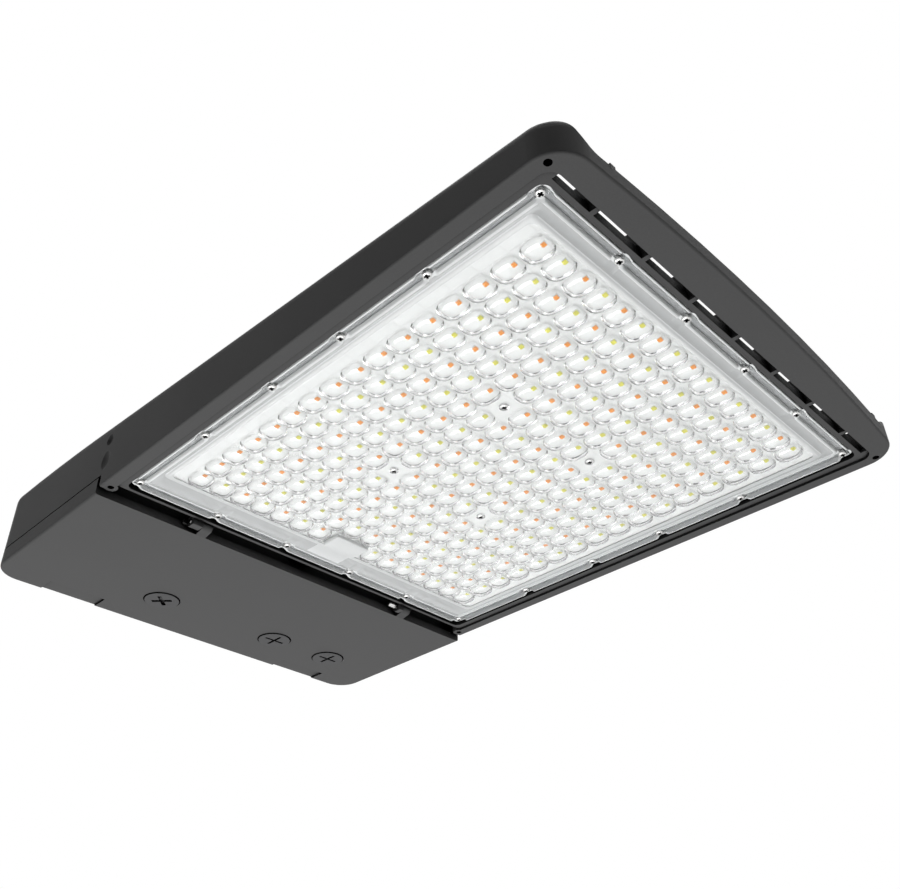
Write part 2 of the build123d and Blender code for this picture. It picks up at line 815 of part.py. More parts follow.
# LED board on its thermal pad, both open over the wire duct and at the centre screws
with BuildSketch() as board_plan:
    with Locations((0, optic_y)):
        Rectangle(2 * board_half_x, 2 * board_half_y)
    with Locations(*centre_screw_places):
        Circle(lens_hole_radius, mode=Mode.SUBTRACT)
    with Locations(blank_place):
        Circle(duct_bore, mode=Mode.SUBTRACT)

with BuildPart() as thermal_pad:
    with BuildSketch(Plane.XY.offset(pad_z)):
        add(board_plan.sketch)
    extrude(amount=pad_thickness)
thermal_pad.part.label = "thermal_pad"
export_step(thermal_pad.part, "parts/thermal_pad.step")

with BuildPart() as led_board:
    with BuildSketch(Plane.XY.offset(board_z)):
        add(board_plan.sketch)
    extrude(amount=board_thickness)
led_board.part.label = "led_board"
export_step(led_board.part, "parts/led_board.step")

with BuildPart() as warm_leds:
    with BuildSketch(Plane.XY.offset(board_z)):
        with Locations(*warm_places):
            Rectangle(led_size, led_size)
    extrude(amount=-led_height)
warm_leds.part.label = "warm_leds"
export_step(warm_leds.part, "parts/warm_leds.step")

with BuildPart() as cool_leds:
    with BuildSketch(Plane.XY.offset(board_z)):
        with Locations(*cool_places):
            Rectangle(led_size, led_size)
    extrude(amount=-led_height)
cool_leds.part.label = "cool_leds"
export_step(cool_leds.part, "parts/cool_leds.step")

with BuildPart() as board_connector:
    with Locations((*blank_place, board_z)):
        Box(connector_width, connector_length, connector_height, align=HUNG)
    fillet(board_connector.edges().filter_by(Axis.Z), recess_width)
board_connector.part.label = "board_connector"
export_step(board_connector.part, "parts/board_connector.step")


def cross_head_screw(radius, head_radius, head_height, shank_length):
    """Pan head screw pointing up from the origin, with a cross recess in its head."""
    with BuildPart() as screw:
        Cylinder(head_radius, head_height, align=HUNG)
        fillet(screw.edges().group_by(Axis.Z)[0], head_height / 2)
        Cylinder(radius, shank_length, align=BASE)
        with BuildSketch(Plane.XY.offset(-head_height)):
            Rectangle(head_radius, recess_width)
            Rectangle(recess_width, head_radius)
        extrude(amount=recess_depth, mode=Mode.SUBTRACT)
    return screw.part


lens_screw = cross_head_screw(
    lens_screw_radius,
    lens_screw_head_radius,
    lens_screw_head_height,
    flange_thickness + gasket_height + lens_screw_depth,
)
with BuildPart() as lens_screws:
    with Locations(*[(x, y, flange_face_z) for x, y in lens_screw_places]):
        add(lens_screw)
lens_screws.part.label = "lens_screws"
export_step(lens_screws.part, "parts/lens_screws.step")

centre_screw = cross_head_screw(
    lens_screw_radius,
    lens_screw_head_radius,
    lens_screw_head_height,
    tray_z - well_z + floor_thickness - 2 * recess_width,
)
with BuildPart() as centre_screws:
    with Locations(*[(x, y, well_z) for x, y in centre_screw_places]):
        add(centre_screw)
centre_screws.part.label = "centre_screws"
export_step(centre_screws.part, "parts/centre_screws.step")

# Driver door: a shallow pan with hinge arms, lock bosses and finger pockets
lock_places = [(-lock_x, lock_y), (lock_x, lock_y)]
head_places = [*lock_places, (port_x, selector_y)]
with BuildPart() as driver_door:
    with BuildSketch(Plane.XY.offset(door_z)) as door_plan:
        Rectangle(body_width, door_front_y, align=(Align.CENTER, Align.MIN))
        fillet(door_plan.vertices().group_by(Axis.Y)[0], rear_corner_radius)
    extrude(amount=seam_z - seam_gap - door_z)
    outer_edges = driver_door.edges().group_by(Axis.Z)[0]
    fillet(outer_edges.filter_by(lambda edge: edge.center().Y < door_front_y - wall), door_edge_radius)
    with BuildSketch(Plane.XY.offset(door_floor_z)) as pan_plan:
        with Locations((0, door_wall)):
            Rectangle(
                body_width - 2 * door_wall, door_front_y - 2 * door_wall, align=(Align.CENTER, Align.MIN)
            )
        fillet(pan_plan.vertices().group_by(Axis.Y)[0], rear_corner_radius - door_wall)
    extrude(amount=seam_z - door_floor_z, mode=Mode.SUBTRACT)
    with Locations((0, door_front_y - door_wall, door_z + door_front_lip)):
        Box(
            body_width - 2 * door_wall, door_wall, seam_z - door_z, align=AHEAD, mode=Mode.SUBTRACT
        )
    with Locations(*[(x, y, door_floor_z) for x, y in head_places]):
        Cylinder(boss_radius, boss_height, align=BASE)
    with Locations(*[(x, y, door_z) for x, y in head_places]):
        Cylinder(head_radius + head_gap, recess_z - door_z, align=BASE, mode=Mode.SUBTRACT)
    with Locations(*[(x, y, recess_z) for x, y in lock_places]):
        Cylinder(
            lock_shaft_radius + running_clearance, boss_top_z - recess_z, align=BASE, mode=Mode.SUBTRACT
        )
        Cylinder(lock_seal_radius + seal_width, seal_height, align=BASE, mode=Mode.SUBTRACT)
        Cylinder(lock_seal_radius, seal_height, align=BASE)
        Cylinder(lock_shaft_radius + running_clearance, seal_height, align=BASE, mode=Mode.SUBTRACT)
    with Locations((port_x, selector_y, recess_z)):
        Cylinder(port_seal_radius + seal_width, seal_height, align=BASE, mode=Mode.SUBTRACT)
        Cylinder(port_seal_radius, seal_height, align=BASE)
        Cylinder(port_radius + running_clearance, boss_top_z - recess_z, align=BASE, mode=Mode.SUBTRACT)
    with Locations((-pocket_x, -overcut, door_z), (pocket_x, -overcut, door_z)):
        Box(
            pocket_width, pocket_length + overcut, pocket_depth, align=AHEAD, mode=Mode.SUBTRACT
        )
    for arm_x in (left_arm_x, right_arm_x):
        with BuildSketch(Plane.YZ.offset(arm_x)):
            with BuildLine():
                Polyline(
                    (door_front_y - door_wall, door_z),
                    (door_front_y, door_z),
                    (hinge_y, hinge_z - hinge_eye_radius),
                    (hinge_y, hinge_z + hinge_eye_radius),
                    (door_front_y - door_wall, door_z + door_front_lip),
                    close=True,
                )
            make_face()
            with Locations((hinge_y, hinge_z)):
                Circle(hinge_eye_radius)
                Circle(hinge_pin_radius, mode=Mode.SUBTRACT)
        extrude(amount=arm_width / 2, both=True)
driver_door.part.label = "driver_door"
export_step(driver_door.part, "parts/driver_door.step")

with BuildPart() as door_gasket:
    with BuildSketch(Plane.XY.offset(door_floor_z)) as gasket_ring:
        with Locations((0, skirt_inset)):
            Rectangle(2 * skirt_half, bay_front_y - skirt_inset, align=(Align.CENTER, Align.MIN))
        fillet(gasket_ring.vertices().group_by(Axis.Y)[0], rear_corner_radius - skirt_inset)
        offset(amount=-skirt_wall, mode=Mode.SUBTRACT)
    extrude(amount=skirt_clearance - seal_gap)
door_gasket.part.label = "door_gasket"
export_step(door_gasket.part, "parts/door_gasket.step")

with BuildPart() as hinge_pin_left:
    with BuildSketch(Plane.YZ.offset(left_arm_x - arm_width / 2)):
        with Locations((hinge_y, hinge_z)):
            Circle(hinge_pin_radius)
    extrude(amount=arm_width + arm_gap + left_lug_width)
    chamfer(hinge_pin_left.edges().filter_by(GeomType.CIRCLE).sort_by(Axis.X)[-1], recess_width)
hinge_pin_left.part.label = "hinge_pin_left"
export_step(hinge_pin_left.part, "parts/hinge_pin_left.step")

with BuildPart() as hinge_pin_right:
    with BuildSketch(Plane.YZ.offset(right_arm_x - arm_width / 2)):
        with Locations((hinge_y, hinge_z)):
            Circle(hinge_pin_radius)
    extrude(amount=arm_width + arm_gap + right_lug_width + pin_tail)
    chamfer(hinge_pin_right.edges().filter_by(GeomType.CIRCLE).sort_by(Axis.X)[-1], recess_width)
hinge_pin_right.part.label = "hinge_pin_right"
export_step(hinge_pin_right.part, "parts/hinge_pin_right.step")


def slotted_head(slot_length, slot_width, slot_angle):
    """Round head standing a little below the origin, with a cross slot in its underside."""
    with BuildPart() as head:
        with Locations((0, 0, -head_proud)):
            Cylinder(head_radius, head_thickness + head_proud, align=BASE)
        with BuildSketch(Plane.XY.offset(-head_proud)):
            with Locations(Location((0, 0, 0), (0, 0, slot_angle))):
                Rectangle(slot_length, slot_width)
                Rectangle(slot_width, slot_length)
        extrude(amount=head_slot_depth, mode=Mode.SUBTRACT)
    return head.part


shaft_top_z = cam_z + cam_thickness
with BuildPart() as turn_lock_left:
    with Locations((lock_x, lock_y, door_z)):
        add(slotted_head(lock_slot_length, lock_slot_width, 45))
    with Locations((lock_x, lock_y, head_top_z)):
        Cylinder(lock_shaft_radius, cam_z - head_top_z, align=BASE)
        Cylinder(cam_width / 3, shaft_top_z - head_top_z, align=BASE)
turn_lock_left.part.label = "turn_lock_left"
export_step(turn_lock_left.part, "parts/turn_lock_left.step")

with BuildPart() as turn_lock_right:
    with Locations((-lock_x, lock_y, door_z)):
        add(slotted_head(plug_slot_length, plug_slot_width, 0))
    with Locations((-lock_x, lock_y, head_top_z)):
        Cylinder(lock_shaft_radius, cam_z - head_top_z, align=BASE)
        Cylinder(cam_width / 3, shaft_top_z - head_top_z, align=BASE)
turn_lock_right.part.label = "turn_lock_right"
export_step(turn_lock_right.part, "parts/turn_lock_right.step")

with BuildPart() as lock_cam_left:
    with BuildSketch(Plane.XY.offset(cam_z)):
        with Locations((lock_x, lock_y)):
            SlotOverall(cam_length, cam_width, rotation=90)
            Circle(cam_width / 3 + screw_clearance, mode=Mode.SUBTRACT)
    extrude(amount=cam_thickness)
lock_cam_left.part.label = "lock_cam_left"
export_step(lock_cam_left.part, "parts/lock_cam_left.step")

with BuildPart() as lock_cam_right:
    with BuildSketch(Plane.XY.offset(cam_z)):
        with Locations((-lock_x, lock_y)):
            SlotOverall(cam_length, cam_width, rotation=90)
            Circle(cam_width / 3 + screw_clearance, mode=Mode.SUBTRACT)
    extrude(amount=cam_thickness)
lock_cam_right.part.label = "lock_cam_right"
export_step(lock_cam_right.part, "parts/lock_cam_right.step")

with BuildPart() as lock_seals:
    with BuildSketch(Plane.XY.offset(recess_z)):
        with Locations(*lock_places):
            Circle(lock_seal_radius + seal_width)
            Circle(lock_seal_radius, mode=Mode.SUBTRACT)
    extrude(amount=seal_height)
lock_seals.part.label = "lock_seals"
export_step(lock_seals.part, "parts/lock_seals.step")

with BuildPart() as port_plug:
    with Locations((port_x, selector_y, door_z)):
        add(slotted_head(plug_slot_length, plug_slot_width, 0))
    with Locations((port_x, selector_y, head_top_z)):
        Cylinder(port_radius, port_skirt, align=BASE)
    with Locations((port_x, selector_y, head_top_z)):
        Cylinder(port_radius - head_thickness, port_skirt, align=BASE, mode=Mode.SUBTRACT)
port_plug.part.label = "port_plug"
export_step(port_plug.part, "parts/port_plug.step")

with BuildPart() as port_seal:
    with BuildSketch(Plane.XY.offset(recess_z)):
        with Locations((port_x, selector_y)):
            Circle(port_seal_radius + seal_width)
            Circle(port_seal_radius, mode=Mode.SUBTRACT)
    extrude(amount=seal_height)
port_seal.part.label = "port_seal"
export_step(port_seal.part, "parts/port_seal.step")

# Selector board with two slide switches, reached through the port
with BuildPart() as selector_board:
    with BuildSketch(Plane.XY.offset(switch_z)):
        with Locations((port_x, selector_y)):
            Rectangle(selector_board_x, selector_board_y)
        with Locations(*selector_post_places):
            Circle(lens_hole_radius, mode=Mode.SUBTRACT)
    extrude(amount=board_thickness)
selector_board.part.label = "selector_board"
export_step(selector_board.part, "parts/selector_board.step")


def switch_body():
    """Slide switch case hung from the origin, with a slot for its knob's stem."""
    with BuildPart() as case:
        Box(switch_length, switch_width, switch_height, align=HUNG)
        with Locations((0, 0, -switch_height)):
            Box(
                knob_size + 2 * (switch_travel + knob_clearance),
                knob_size + 2 * knob_clearance,
                knob_stem + knob_clearance,
                align=BASE,
                mode=Mode.SUBTRACT,
            )
    return case.part


power_place = (port_x, selector_y + switch_spacing / 2)
colour_place = (port_x, selector_y - switch_spacing / 2)
with BuildPart() as power_switch:
    with Locations((*power_place, switch_z)):
        add(switch_body())
power_switch.part.label = "power_switch"
export_step(power_switch.part, "parts/power_switch.step")

with BuildPart() as colour_switch:
    with Locations((*colour_place, switch_z)):
        add(switch_body())
colour_switch.part.label = "colour_switch"
export_step(colour_switch.part, "parts/colour_switch.step")

with BuildPart() as power_slider:
    with Locations((*power_place, switch_z - switch_height + knob_stem)):
        Box(knob_size, knob_size, knob_stem + knob_height, align=HUNG)
power_slider.part.label = "power_slider"
export_step(power_slider.part, "parts/power_slider.step")

with BuildPart() as colour_slider:
    with Locations((*colour_place, switch_z - switch_height + knob_stem)):
        Box(knob_size, knob_size, knob_stem + knob_height, align=HUNG)
colour_slider.part.label = "colour_slider"
export_step(colour_slider.part, "parts/colour_slider.step")

selector_screw = cross_head_screw(
    lens_screw_radius,
    lens_screw_head_radius,
    lens_screw_head_height,
    board_thickness + fixing_depth - recess_width,
)
with BuildPart() as selector_screws:
    with Locations(*[(x, y, switch_z) for x, y in selector_post_places]):
        add(selector_screw)
selector_screws.part.label = "selector_screws"
export_step(selector_screws.part, "parts/selector_screws.step")

# Electronics hung from the bay roof
with BuildPart() as led_driver:
    with Locations((0, driver_y, electronics_height)):
        Box(driver_length, driver_width, driver_height, align=(Align.CENTER, Align.MIN, Align.MAX))
    fillet(led_driver.edges().filter_by(Axis.X).group_by(Axis.Z)[0], driver_edge_radius)
    with Locations((0, driver_y, electronics_height)):
        Box(
            driver_length + 2 * ear_length,
            driver_width,
            ear_thickness,
            align=(Align.CENTER, Align.MIN, Align.MAX),
        )
    with Locations(*[(x, y, electronics_height) for x, y in driver_screw_places]):
        Cylinder(fixing_radius + screw_clearance, ear_thickness, align=HUNG, mode=Mode.SUBTRACT)
led_driver.part.label = "led_driver"
export_step(led_driver.part, "parts/led_driver.step")

with BuildPart() as surge_protector:
    with Locations((surge_x, surge_y, electronics_height)):
        Box(surge_size_x, surge_size_y, surge_height, align=HUNG)
    fillet(surge_protector.edges().group_by(Axis.Z)[0], driver_edge_radius)
    with Locations(*[(x, y, electronics_height - ear_thickness) for x, y in surge_screw_places]):
        Cylinder(fixing_head_radius + well_gap, surge_height, align=HUNG, mode=Mode.SUBTRACT)
    with Locations(*[(x, y, electronics_height) for x, y in surge_screw_places]):
        Cylinder(fixing_radius + screw_clearance, ear_thickness, align=HUNG, mode=Mode.SUBTRACT)
surge_protector.part.label = "surge_protector"
export_step(surge_protector.part, "parts/surge_protector.step")

terminal_rear_y = terminal_y - terminal_size_y / 2
terminal_places = [terminal_pitch * (pole - (terminal_poles - 1) / 2) for pole in range(terminal_poles)]
with BuildPart() as terminal_block:
    with Locations((0, terminal_y, electronics_height)):
        Box(terminal_size_x, terminal_size_y, terminal_height, align=HUNG)
    with Locations(*[(x, y, electronics_height - ear_thickness) for x, y in terminal_screw_places]):
        Cylinder(fixing_head_radius + well_gap, terminal_height, align=HUNG, mode=Mode.SUBTRACT)
    with Locations(*[(x, y, electronics_height) for x, y in terminal_screw_places]):
        Cylinder(fixing_radius + screw_clearance, ear_thickness, align=HUNG, mode=Mode.SUBTRACT)
    with Locations(*[(x, terminal_rear_y, electronics_height - terminal_height) for x in terminal_places]):
        Box(terminal_pitch / 2, terminal_size_y / 2, terminal_height / 2, align=AHEAD, mode=Mode.SUBTRACT)
terminal_block.part.label = "terminal_block"
export_step(terminal_block.part, "parts/terminal_block.step")

fixing_screw = cross_head_screw(
    fixing_radius, fixing_head_radius, fixing_head_height, ear_thickness + fixing_depth - recess_width
)
with BuildPart() as driver_screws:
    with Locations(*[(x, y, electronics_height - ear_thickness) for x, y in driver_screw_places]):
        add(fixing_screw)
driver_screws.part.label = "driver_screws"
export_step(driver_screws.part, "parts/driver_screws.step")

with BuildPart() as surge_screws:
    with Locations(*[(x, y, electronics_height - ear_thickness) for x, y in surge_screw_places]):
        add(fixing_screw)
surge_screws.part.label = "surge_screws"
export_step(surge_screws.part, "parts/surge_screws.step")

with BuildPart() as terminal_screws:
    with Locations(*[(x, y, electronics_height - ear_thickness) for x, y in terminal_screw_places]):
        add(fixing_screw)
terminal_screws.part.label = "terminal_screws"
export_step(terminal_screws.part, "parts/terminal_screws.step")

earth_screw = cross_head_screw(
    fixing_radius, fixing_head_radius, fixing_head_height, fixing_depth - recess_width
)
with BuildPart() as ground_screw:
    with Locations((ground_x, ground_y, electronics_height - ground_boss_drop)):
        add(earth_screw)
ground_screw.part.label = "ground_screw"
export_step(ground_screw.part, "parts/ground_screw.step")

# Grommets at the wire entry and where the LED lead leaves the bay
pad_face_y = wall + arm_pad_depth
with BuildPart() as wire_entry_grommet:
    with BuildSketch(Plane.XZ):
        Circle(wire_entry_radius - screw_clearance)
        Circle(wire_bore_radius, mode=Mode.SUBTRACT)
    extrude(amount=-pad_face_y)
    with BuildSketch(Plane.XZ.offset(-pad_face_y)):
        Circle(wire_entry_radius + grommet_flange)
        Circle(wire_bore_radius, mode=Mode.SUBTRACT)
    extrude(amount=-grommet_lip)
wire_entry_grommet.part.label = "wire_entry_grommet"
export_step(wire_entry_grommet.part, "parts/wire_entry_grommet.step")

with BuildPart() as lead_grommet:
    with BuildSketch(Plane.XZ.offset(-bay_depth)):
        with Locations((0, duct_z)):
            Circle(duct_bore + grommet_lip - screw_clearance)
            Circle(dc_lead_radius + screw_clearance, mode=Mode.SUBTRACT)
    extrude(amount=-bay_wall)
    with BuildSketch(Plane.XZ.offset(-bay_depth)):
        with Locations((0, duct_z)):
            Circle(duct_bore + 2 * grommet_lip)
            Circle(dc_lead_radius + screw_clearance, mode=Mode.SUBTRACT)
    extrude(amount=grommet_lip)
lead_grommet.part.label = "lead_grommet"
export_step(lead_grommet.part, "parts/lead_grommet.step")

# Leads inside the bay, straight runs joined by arcs
driver_end_x = driver_length / 2
driver_mid_y = driver_y + driver_width / 2
far_x = driver_end_x + lead_end_gap


def lead(points, bends, radius):
    """Round lead along straight runs with an arc at each corner."""
    with BuildPart() as tube:
        with BuildLine() as route:
            FilletPolyline(*points, radius=bends)
        with BuildSketch(Plane(origin=route.line @ 0, z_dir=route.line % 0)):
            Circle(radius)
        sweep()
    return tube.part


dc_route = [
    (driver_end_x, driver_mid_y, duct_z),
    (far_x, driver_mid_y, duct_z),
    (far_x, lead_y, duct_z),
    (0, lead_y, duct_z),
    (0, dc_end_y, duct_z),
    (0, dc_end_y, board_z),
]
with BuildPart() as dc_lead:
    add(lead(dc_route, [lead_bend, lead_bend, lead_bend, 2 * dc_lead_radius], dc_lead_radius))
dc_lead.part.label = "dc_lead"
export_step(dc_lead.part, "parts/dc_lead.step")

input_y = (terminal_y + terminal_size_y / 2 + driver_y) / 2
input_bend = (driver_y - terminal_y - terminal_size_y / 2) / 2 - wire_radius / 2
with BuildPart() as input_leads:
    for pole, x in enumerate(terminal_places):
        wire_z = electronics_height - ear_thickness - wire_spacing * (pole + 1) + 2 * wire_radius
        wire_route = [
            (x, terminal_y + terminal_size_y / 2, wire_z),
            (x, input_y, wire_z),
            (-far_x, input_y, wire_z),
            (-far_x, driver_mid_y, wire_z),
            (-driver_end_x, driver_mid_y, wire_z),
        ]
        add(lead(wire_route, [input_bend, lead_bend, lead_bend], wire_radius))
input_leads.part.label = "input_leads"
export_step(input_leads.part, "parts/input_leads.step")

with BuildPart() as surge_leads:
    for step in (-1, 1):
        with BuildSketch(Plane.YZ.offset(terminal_size_x / 2)):
            with Locations((terminal_y + step * wire_spacing / 2, electronics_height - terminal_height / 2)):
                Circle(wire_radius)
        extrude(amount=surge_x - surge_size_x / 2 - terminal_size_x / 2)
surge_leads.part.label = "surge_leads"
export_step(surge_leads.part, "parts/surge_leads.step")

selector_lead_y = selector_y + selector_board_y / 2 - 2 * wire_radius
selector_lead_z = electronics_height - driver_height + driver_edge_radius + 4 * wire_radius
selector_route = [
    (port_x, selector_lead_y, selector_z),
    (port_x, selector_lead_y, selector_lead_z),
    (port_x, driver_y + ear_screw_inset, selector_lead_z),
    (-driver_end_x, driver_y + ear_screw_inset, selector_lead_z),
]
with BuildPart() as selector_lead:
    add(lead(selector_route, [wire_spacing, wire_spacing], wire_radius))
selector_lead.part.label = "selector_lead"
export_step(selector_lead.part, "parts/selector_lead.step")
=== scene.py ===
"""Studio scene of a pole-mounted area light: optics, LEDs, screws and finishes on its solids."""

import logging
import math
from dataclasses import dataclass, field
from enum import Enum
from typing import Any, Iterable, Mapping, Sequence

import bmesh
import bpy
from mathutils import Matrix, Vector
from mathutils.kdtree import KDTree


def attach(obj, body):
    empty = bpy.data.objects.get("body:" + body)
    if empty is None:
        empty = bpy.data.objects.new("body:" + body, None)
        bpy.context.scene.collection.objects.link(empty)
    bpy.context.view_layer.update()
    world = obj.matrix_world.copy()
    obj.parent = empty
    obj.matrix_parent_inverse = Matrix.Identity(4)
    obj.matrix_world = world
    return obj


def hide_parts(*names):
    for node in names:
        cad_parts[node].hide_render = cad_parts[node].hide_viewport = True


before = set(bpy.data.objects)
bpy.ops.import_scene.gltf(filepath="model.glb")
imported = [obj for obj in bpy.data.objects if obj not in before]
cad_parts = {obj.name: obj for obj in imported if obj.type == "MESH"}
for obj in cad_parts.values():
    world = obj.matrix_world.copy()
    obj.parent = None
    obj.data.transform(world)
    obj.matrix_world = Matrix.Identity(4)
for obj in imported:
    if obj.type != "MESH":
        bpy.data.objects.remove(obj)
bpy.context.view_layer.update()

LOG = logging.getLogger("area_light")
MM = 0.001
LENS_SCREW_SEED = 3
CENTRE_SCREW_SEED = 5
WHITE = (1.0, 1.0, 1.0, 1.0)

Colour = tuple[float, float, float]
Triple = tuple[float, float, float]
Spot = tuple[float, float]
Outline = tuple[float, float, float, float]


class Tone(Enum):
    """Phosphor colours of the two kinds of LED."""

    WARM = (0.86, 0.29, 0.003)
    COOL = (0.70, 0.68, 0.06)


class Body(Enum):
    """Moving bodies that new pieces ride on."""

    HOUSING = "housing"


class Wire:
    """A node's output that takes part in sums."""

    def __init__(self, book: "NodeBook", socket: bpy.types.NodeSocket) -> None:
        """Keep the tree and the output."""
        self.book = book
        self.socket = socket

    def combine(self, operation: str, first: Any, second: Any) -> "Wire":
        """Add one Math node.

        Args:
            operation: name of the Math node's operation.
            first: wire or number on its first input.
            second: wire or number on its second input.

        Returns:
            The wire that carries the result.
        """
        node = self.book.make("ShaderNodeMath", {"operation": operation}, {0: first, 1: second})
        return Wire(self.book, node.outputs[0])

    def __add__(self, other: Any) -> "Wire":
        """Sum of two values."""
        return self.combine("ADD", self, other)

    def __radd__(self, other: Any) -> "Wire":
        """Sum with a number in front."""
        return self.combine("ADD", other, self)

    def __sub__(self, other: Any) -> "Wire":
        """Difference of two values."""
        return self.combine("SUBTRACT", self, other)

    def __rsub__(self, other: Any) -> "Wire":
        """Difference with a number in front."""
        return self.combine("SUBTRACT", other, self)

    def __mul__(self, other: Any) -> "Wire":
        """Product of two values."""
        return self.combine("MULTIPLY", self, other)

    def __rmul__(self, other: Any) -> "Wire":
        """Product with a number in front."""
        return self.combine("MULTIPLY", other, self)

    def above(self, limit: float) -> "Wire":
        """Mask of one where the value is over a limit."""
        return self.combine("GREATER_THAN", self, limit)

    def larger(self, other: Any) -> "Wire":
        """Larger of two values."""
        return self.combine("MAXIMUM", self, other)

    def smooth(self, low: float, high: float) -> "Wire":
        """Smooth step from 0 at low to 1 at high.

        Args:
            low: value at which the step starts.
            high: value at which it ends.

        Returns:
            The wire that carries the step.
        """
        node = self.book.make(
            "ShaderNodeMapRange", {"interpolation_type": "SMOOTHSTEP"}, {0: self, 1: low, 2: high}
        )
        return Wire(self.book, node.outputs[0])


class NodeBook:
    """Adds nodes to one shader or geometry tree."""

    GAP_RAYS = 6

    def __init__(self, tree: bpy.types.NodeTree) -> None:
        """Keep the tree that the nodes go into."""
        self.tree = tree

    @classmethod
    def fresh(cls, owner: bpy.types.Material | bpy.types.World) -> "NodeBook":
        """Start an empty tree in a material or world.

        Args:
            owner: what the tree belongs to.

        Returns:
            A book for its nodes.
        """
        owner.use_nodes = True
        owner.node_tree.nodes.clear()
        return cls(owner.node_tree)

    def shader(self, inputs: Mapping[str, Any]) -> bpy.types.NodeSocket:
        """Principled shader with the given inputs."""
        return self.make("ShaderNodeBsdfPrincipled", {}, inputs).outputs[0]

    def mixed(self, share: Wire, first: Any, second: Any) -> bpy.types.NodeSocket:
        """Two shaders mixed by the share of the second."""
        return self.make("ShaderNodeMixShader", {}, {0: share, 1: first, 2: second}).outputs[0]

    def make(
        self,
        kind: str,
        settings: Mapping[str, Any] | None = None,
        sockets: Mapping[str | int, Any] | None = None,
    ) -> bpy.types.Node:
        """Add a node, give it its settings, then fill or link its inputs.

        Args:
            kind: the node's type name.
            settings: properties to set first.
            sockets: values, wires or outputs by input name or number.

        Returns:
            The new node.
        """
        node = self.tree.nodes.new(kind)
        for name, value in (settings or {}).items():
            setattr(node, name, value)
        for key, value in (sockets or {}).items():
            if isinstance(value, Wire):
                value = value.socket
            if isinstance(value, bpy.types.NodeSocket):
                self.tree.links.new(value, node.inputs[key])
            else:
                node.inputs[key].default_value = value
        return node

    def wire(self, node: bpy.types.Node, key: str | int = 0) -> Wire:
        """Wrap one of a node's outputs."""
        return Wire(self, node.outputs[key])

    def place(self) -> Wire:
        """Object coordinates, in metres."""
        return self.wire(self.make("ShaderNodeTexCoord"), "Object")

    def stretched(self, place: Wire, scale: Triple, turn: float = 0.0) -> Wire:
        """Coordinates scaled by axis and turned about Z.

        Args:
            place: coordinates to change.
            scale: factor along each axis.
            turn: angle in radians.

        Returns:
            Wire of the changed coordinates.
        """
        node = self.make(
            "ShaderNodeMapping", {}, {"Vector": place, "Scale": scale, "Rotation": (0.0, 0.0, turn)}
        )
        return self.wire(node)

    def noise(self, place: Wire, size: float, detail: float = 2.0) -> Wire:
        """Soft noise.

        Args:
            place: coordinates to read it at.
            size: width of its blobs in metres.
            detail: how many finer layers it has.

        Returns:
            Wire of values from 0 to 1.
        """
        node = self.make(
            "ShaderNodeTexNoise", {}, {"Vector": place, "Scale": 1.0 / size, "Detail": detail}
        )
        return self.wire(node)

    def cells(self, place: Wire, size: float) -> Wire:
        """Distance to the nearest of scattered points, in cell widths."""
        node = self.make("ShaderNodeTexVoronoi", {}, {"Vector": place, "Scale": 1.0 / size})
        return self.wire(node, "Distance")

    def tinted(self, tint: Colour, shade: Wire) -> Wire:
        """Colour multiplied by a shade.

        Args:
            tint: the colour.
            shade: wire of factors.

        Returns:
            Wire of colours.
        """
        node = self.make(
            "ShaderNodeMix",
            {"data_type": "RGBA", "blend_type": "MULTIPLY"},
            {0: 1.0, 6: (*tint, 1.0), 7: shade},
        )
        return self.wire(node, 2)

    def mark(self, name: str) -> Wire:
        """Value of a mesh attribute, 0 where a mesh has none."""
        return self.wire(self.make("ShaderNodeAttribute", {"attribute_name": name}), "Fac")

    def openness(self, reach: float) -> Wire:
        """How open a surface lies, from 0 in a narrow gap to 1 on an outer face.

        Args:
            reach: how far away a wall still counts, in metres.

        Returns:
            Wire of values from 0 to 1.
        """
        node = self.make(
            "ShaderNodeAmbientOcclusion", {"samples": self.GAP_RAYS}, {"Distance": reach}
        )
        return self.wire(node, "AO")

    def bump(self, height: Wire, depth: float, strength: float) -> Wire:
        """Normal bent by a height.

        Args:
            height: wire of heights from 0 to 1.
            depth: what a height of 1 is, in metres.
            strength: share of the effect that is used.

        Returns:
            Wire for a shader's Normal input.
        """
        node = self.make(
            "ShaderNodeBump", {}, {"Height": height, "Distance": depth, "Strength": strength}
        )
        return self.wire(node)


@dataclass
class Look:
    """What one finish gives to its shader."""

    shade: Wire
    roughness: Wire
    height: Wire
    depth: float
    strength: float = 0.6
    constants: dict[str, Any] = field(default_factory=dict)


@dataclass(frozen=True)
class Finish:
    """A colour, a roughness and a pattern, whose sizes are in millimetres."""

    name: str
    tint: Colour
    roughness: float

    def look(self, book: NodeBook, place: Wire) -> Look:
        """Pattern of the finish; each kind of finish has its own.

        Args:
            book: where its nodes go.
            place: object coordinates.

        Returns:
            The shade, roughness and relief.
        """
        raise NotImplementedError

    def material(self) -> bpy.types.Material:
        """Make the material.

        Returns:
            The finished material.
        """
        made = bpy.data.materials.new(self.name)
        book = NodeBook.fresh(made)
        surface = self.surface(book, self.look(book, book.place()))
        book.make("ShaderNodeOutputMaterial", {}, {"Surface": surface})
        return made

    def surface(self, book: NodeBook, look: Look) -> bpy.types.NodeSocket:
        """Shader of the finish.

        Args:
            book: where its nodes go.
            look: its pattern.

        Returns:
            The shader's output.
        """
        return book.shader(
            {
                "Base Color": book.tinted(self.tint, look.shade),
                "Roughness": look.roughness,
                "Normal": book.bump(look.height, look.depth, look.strength),
                **look.constants,
            }
        )


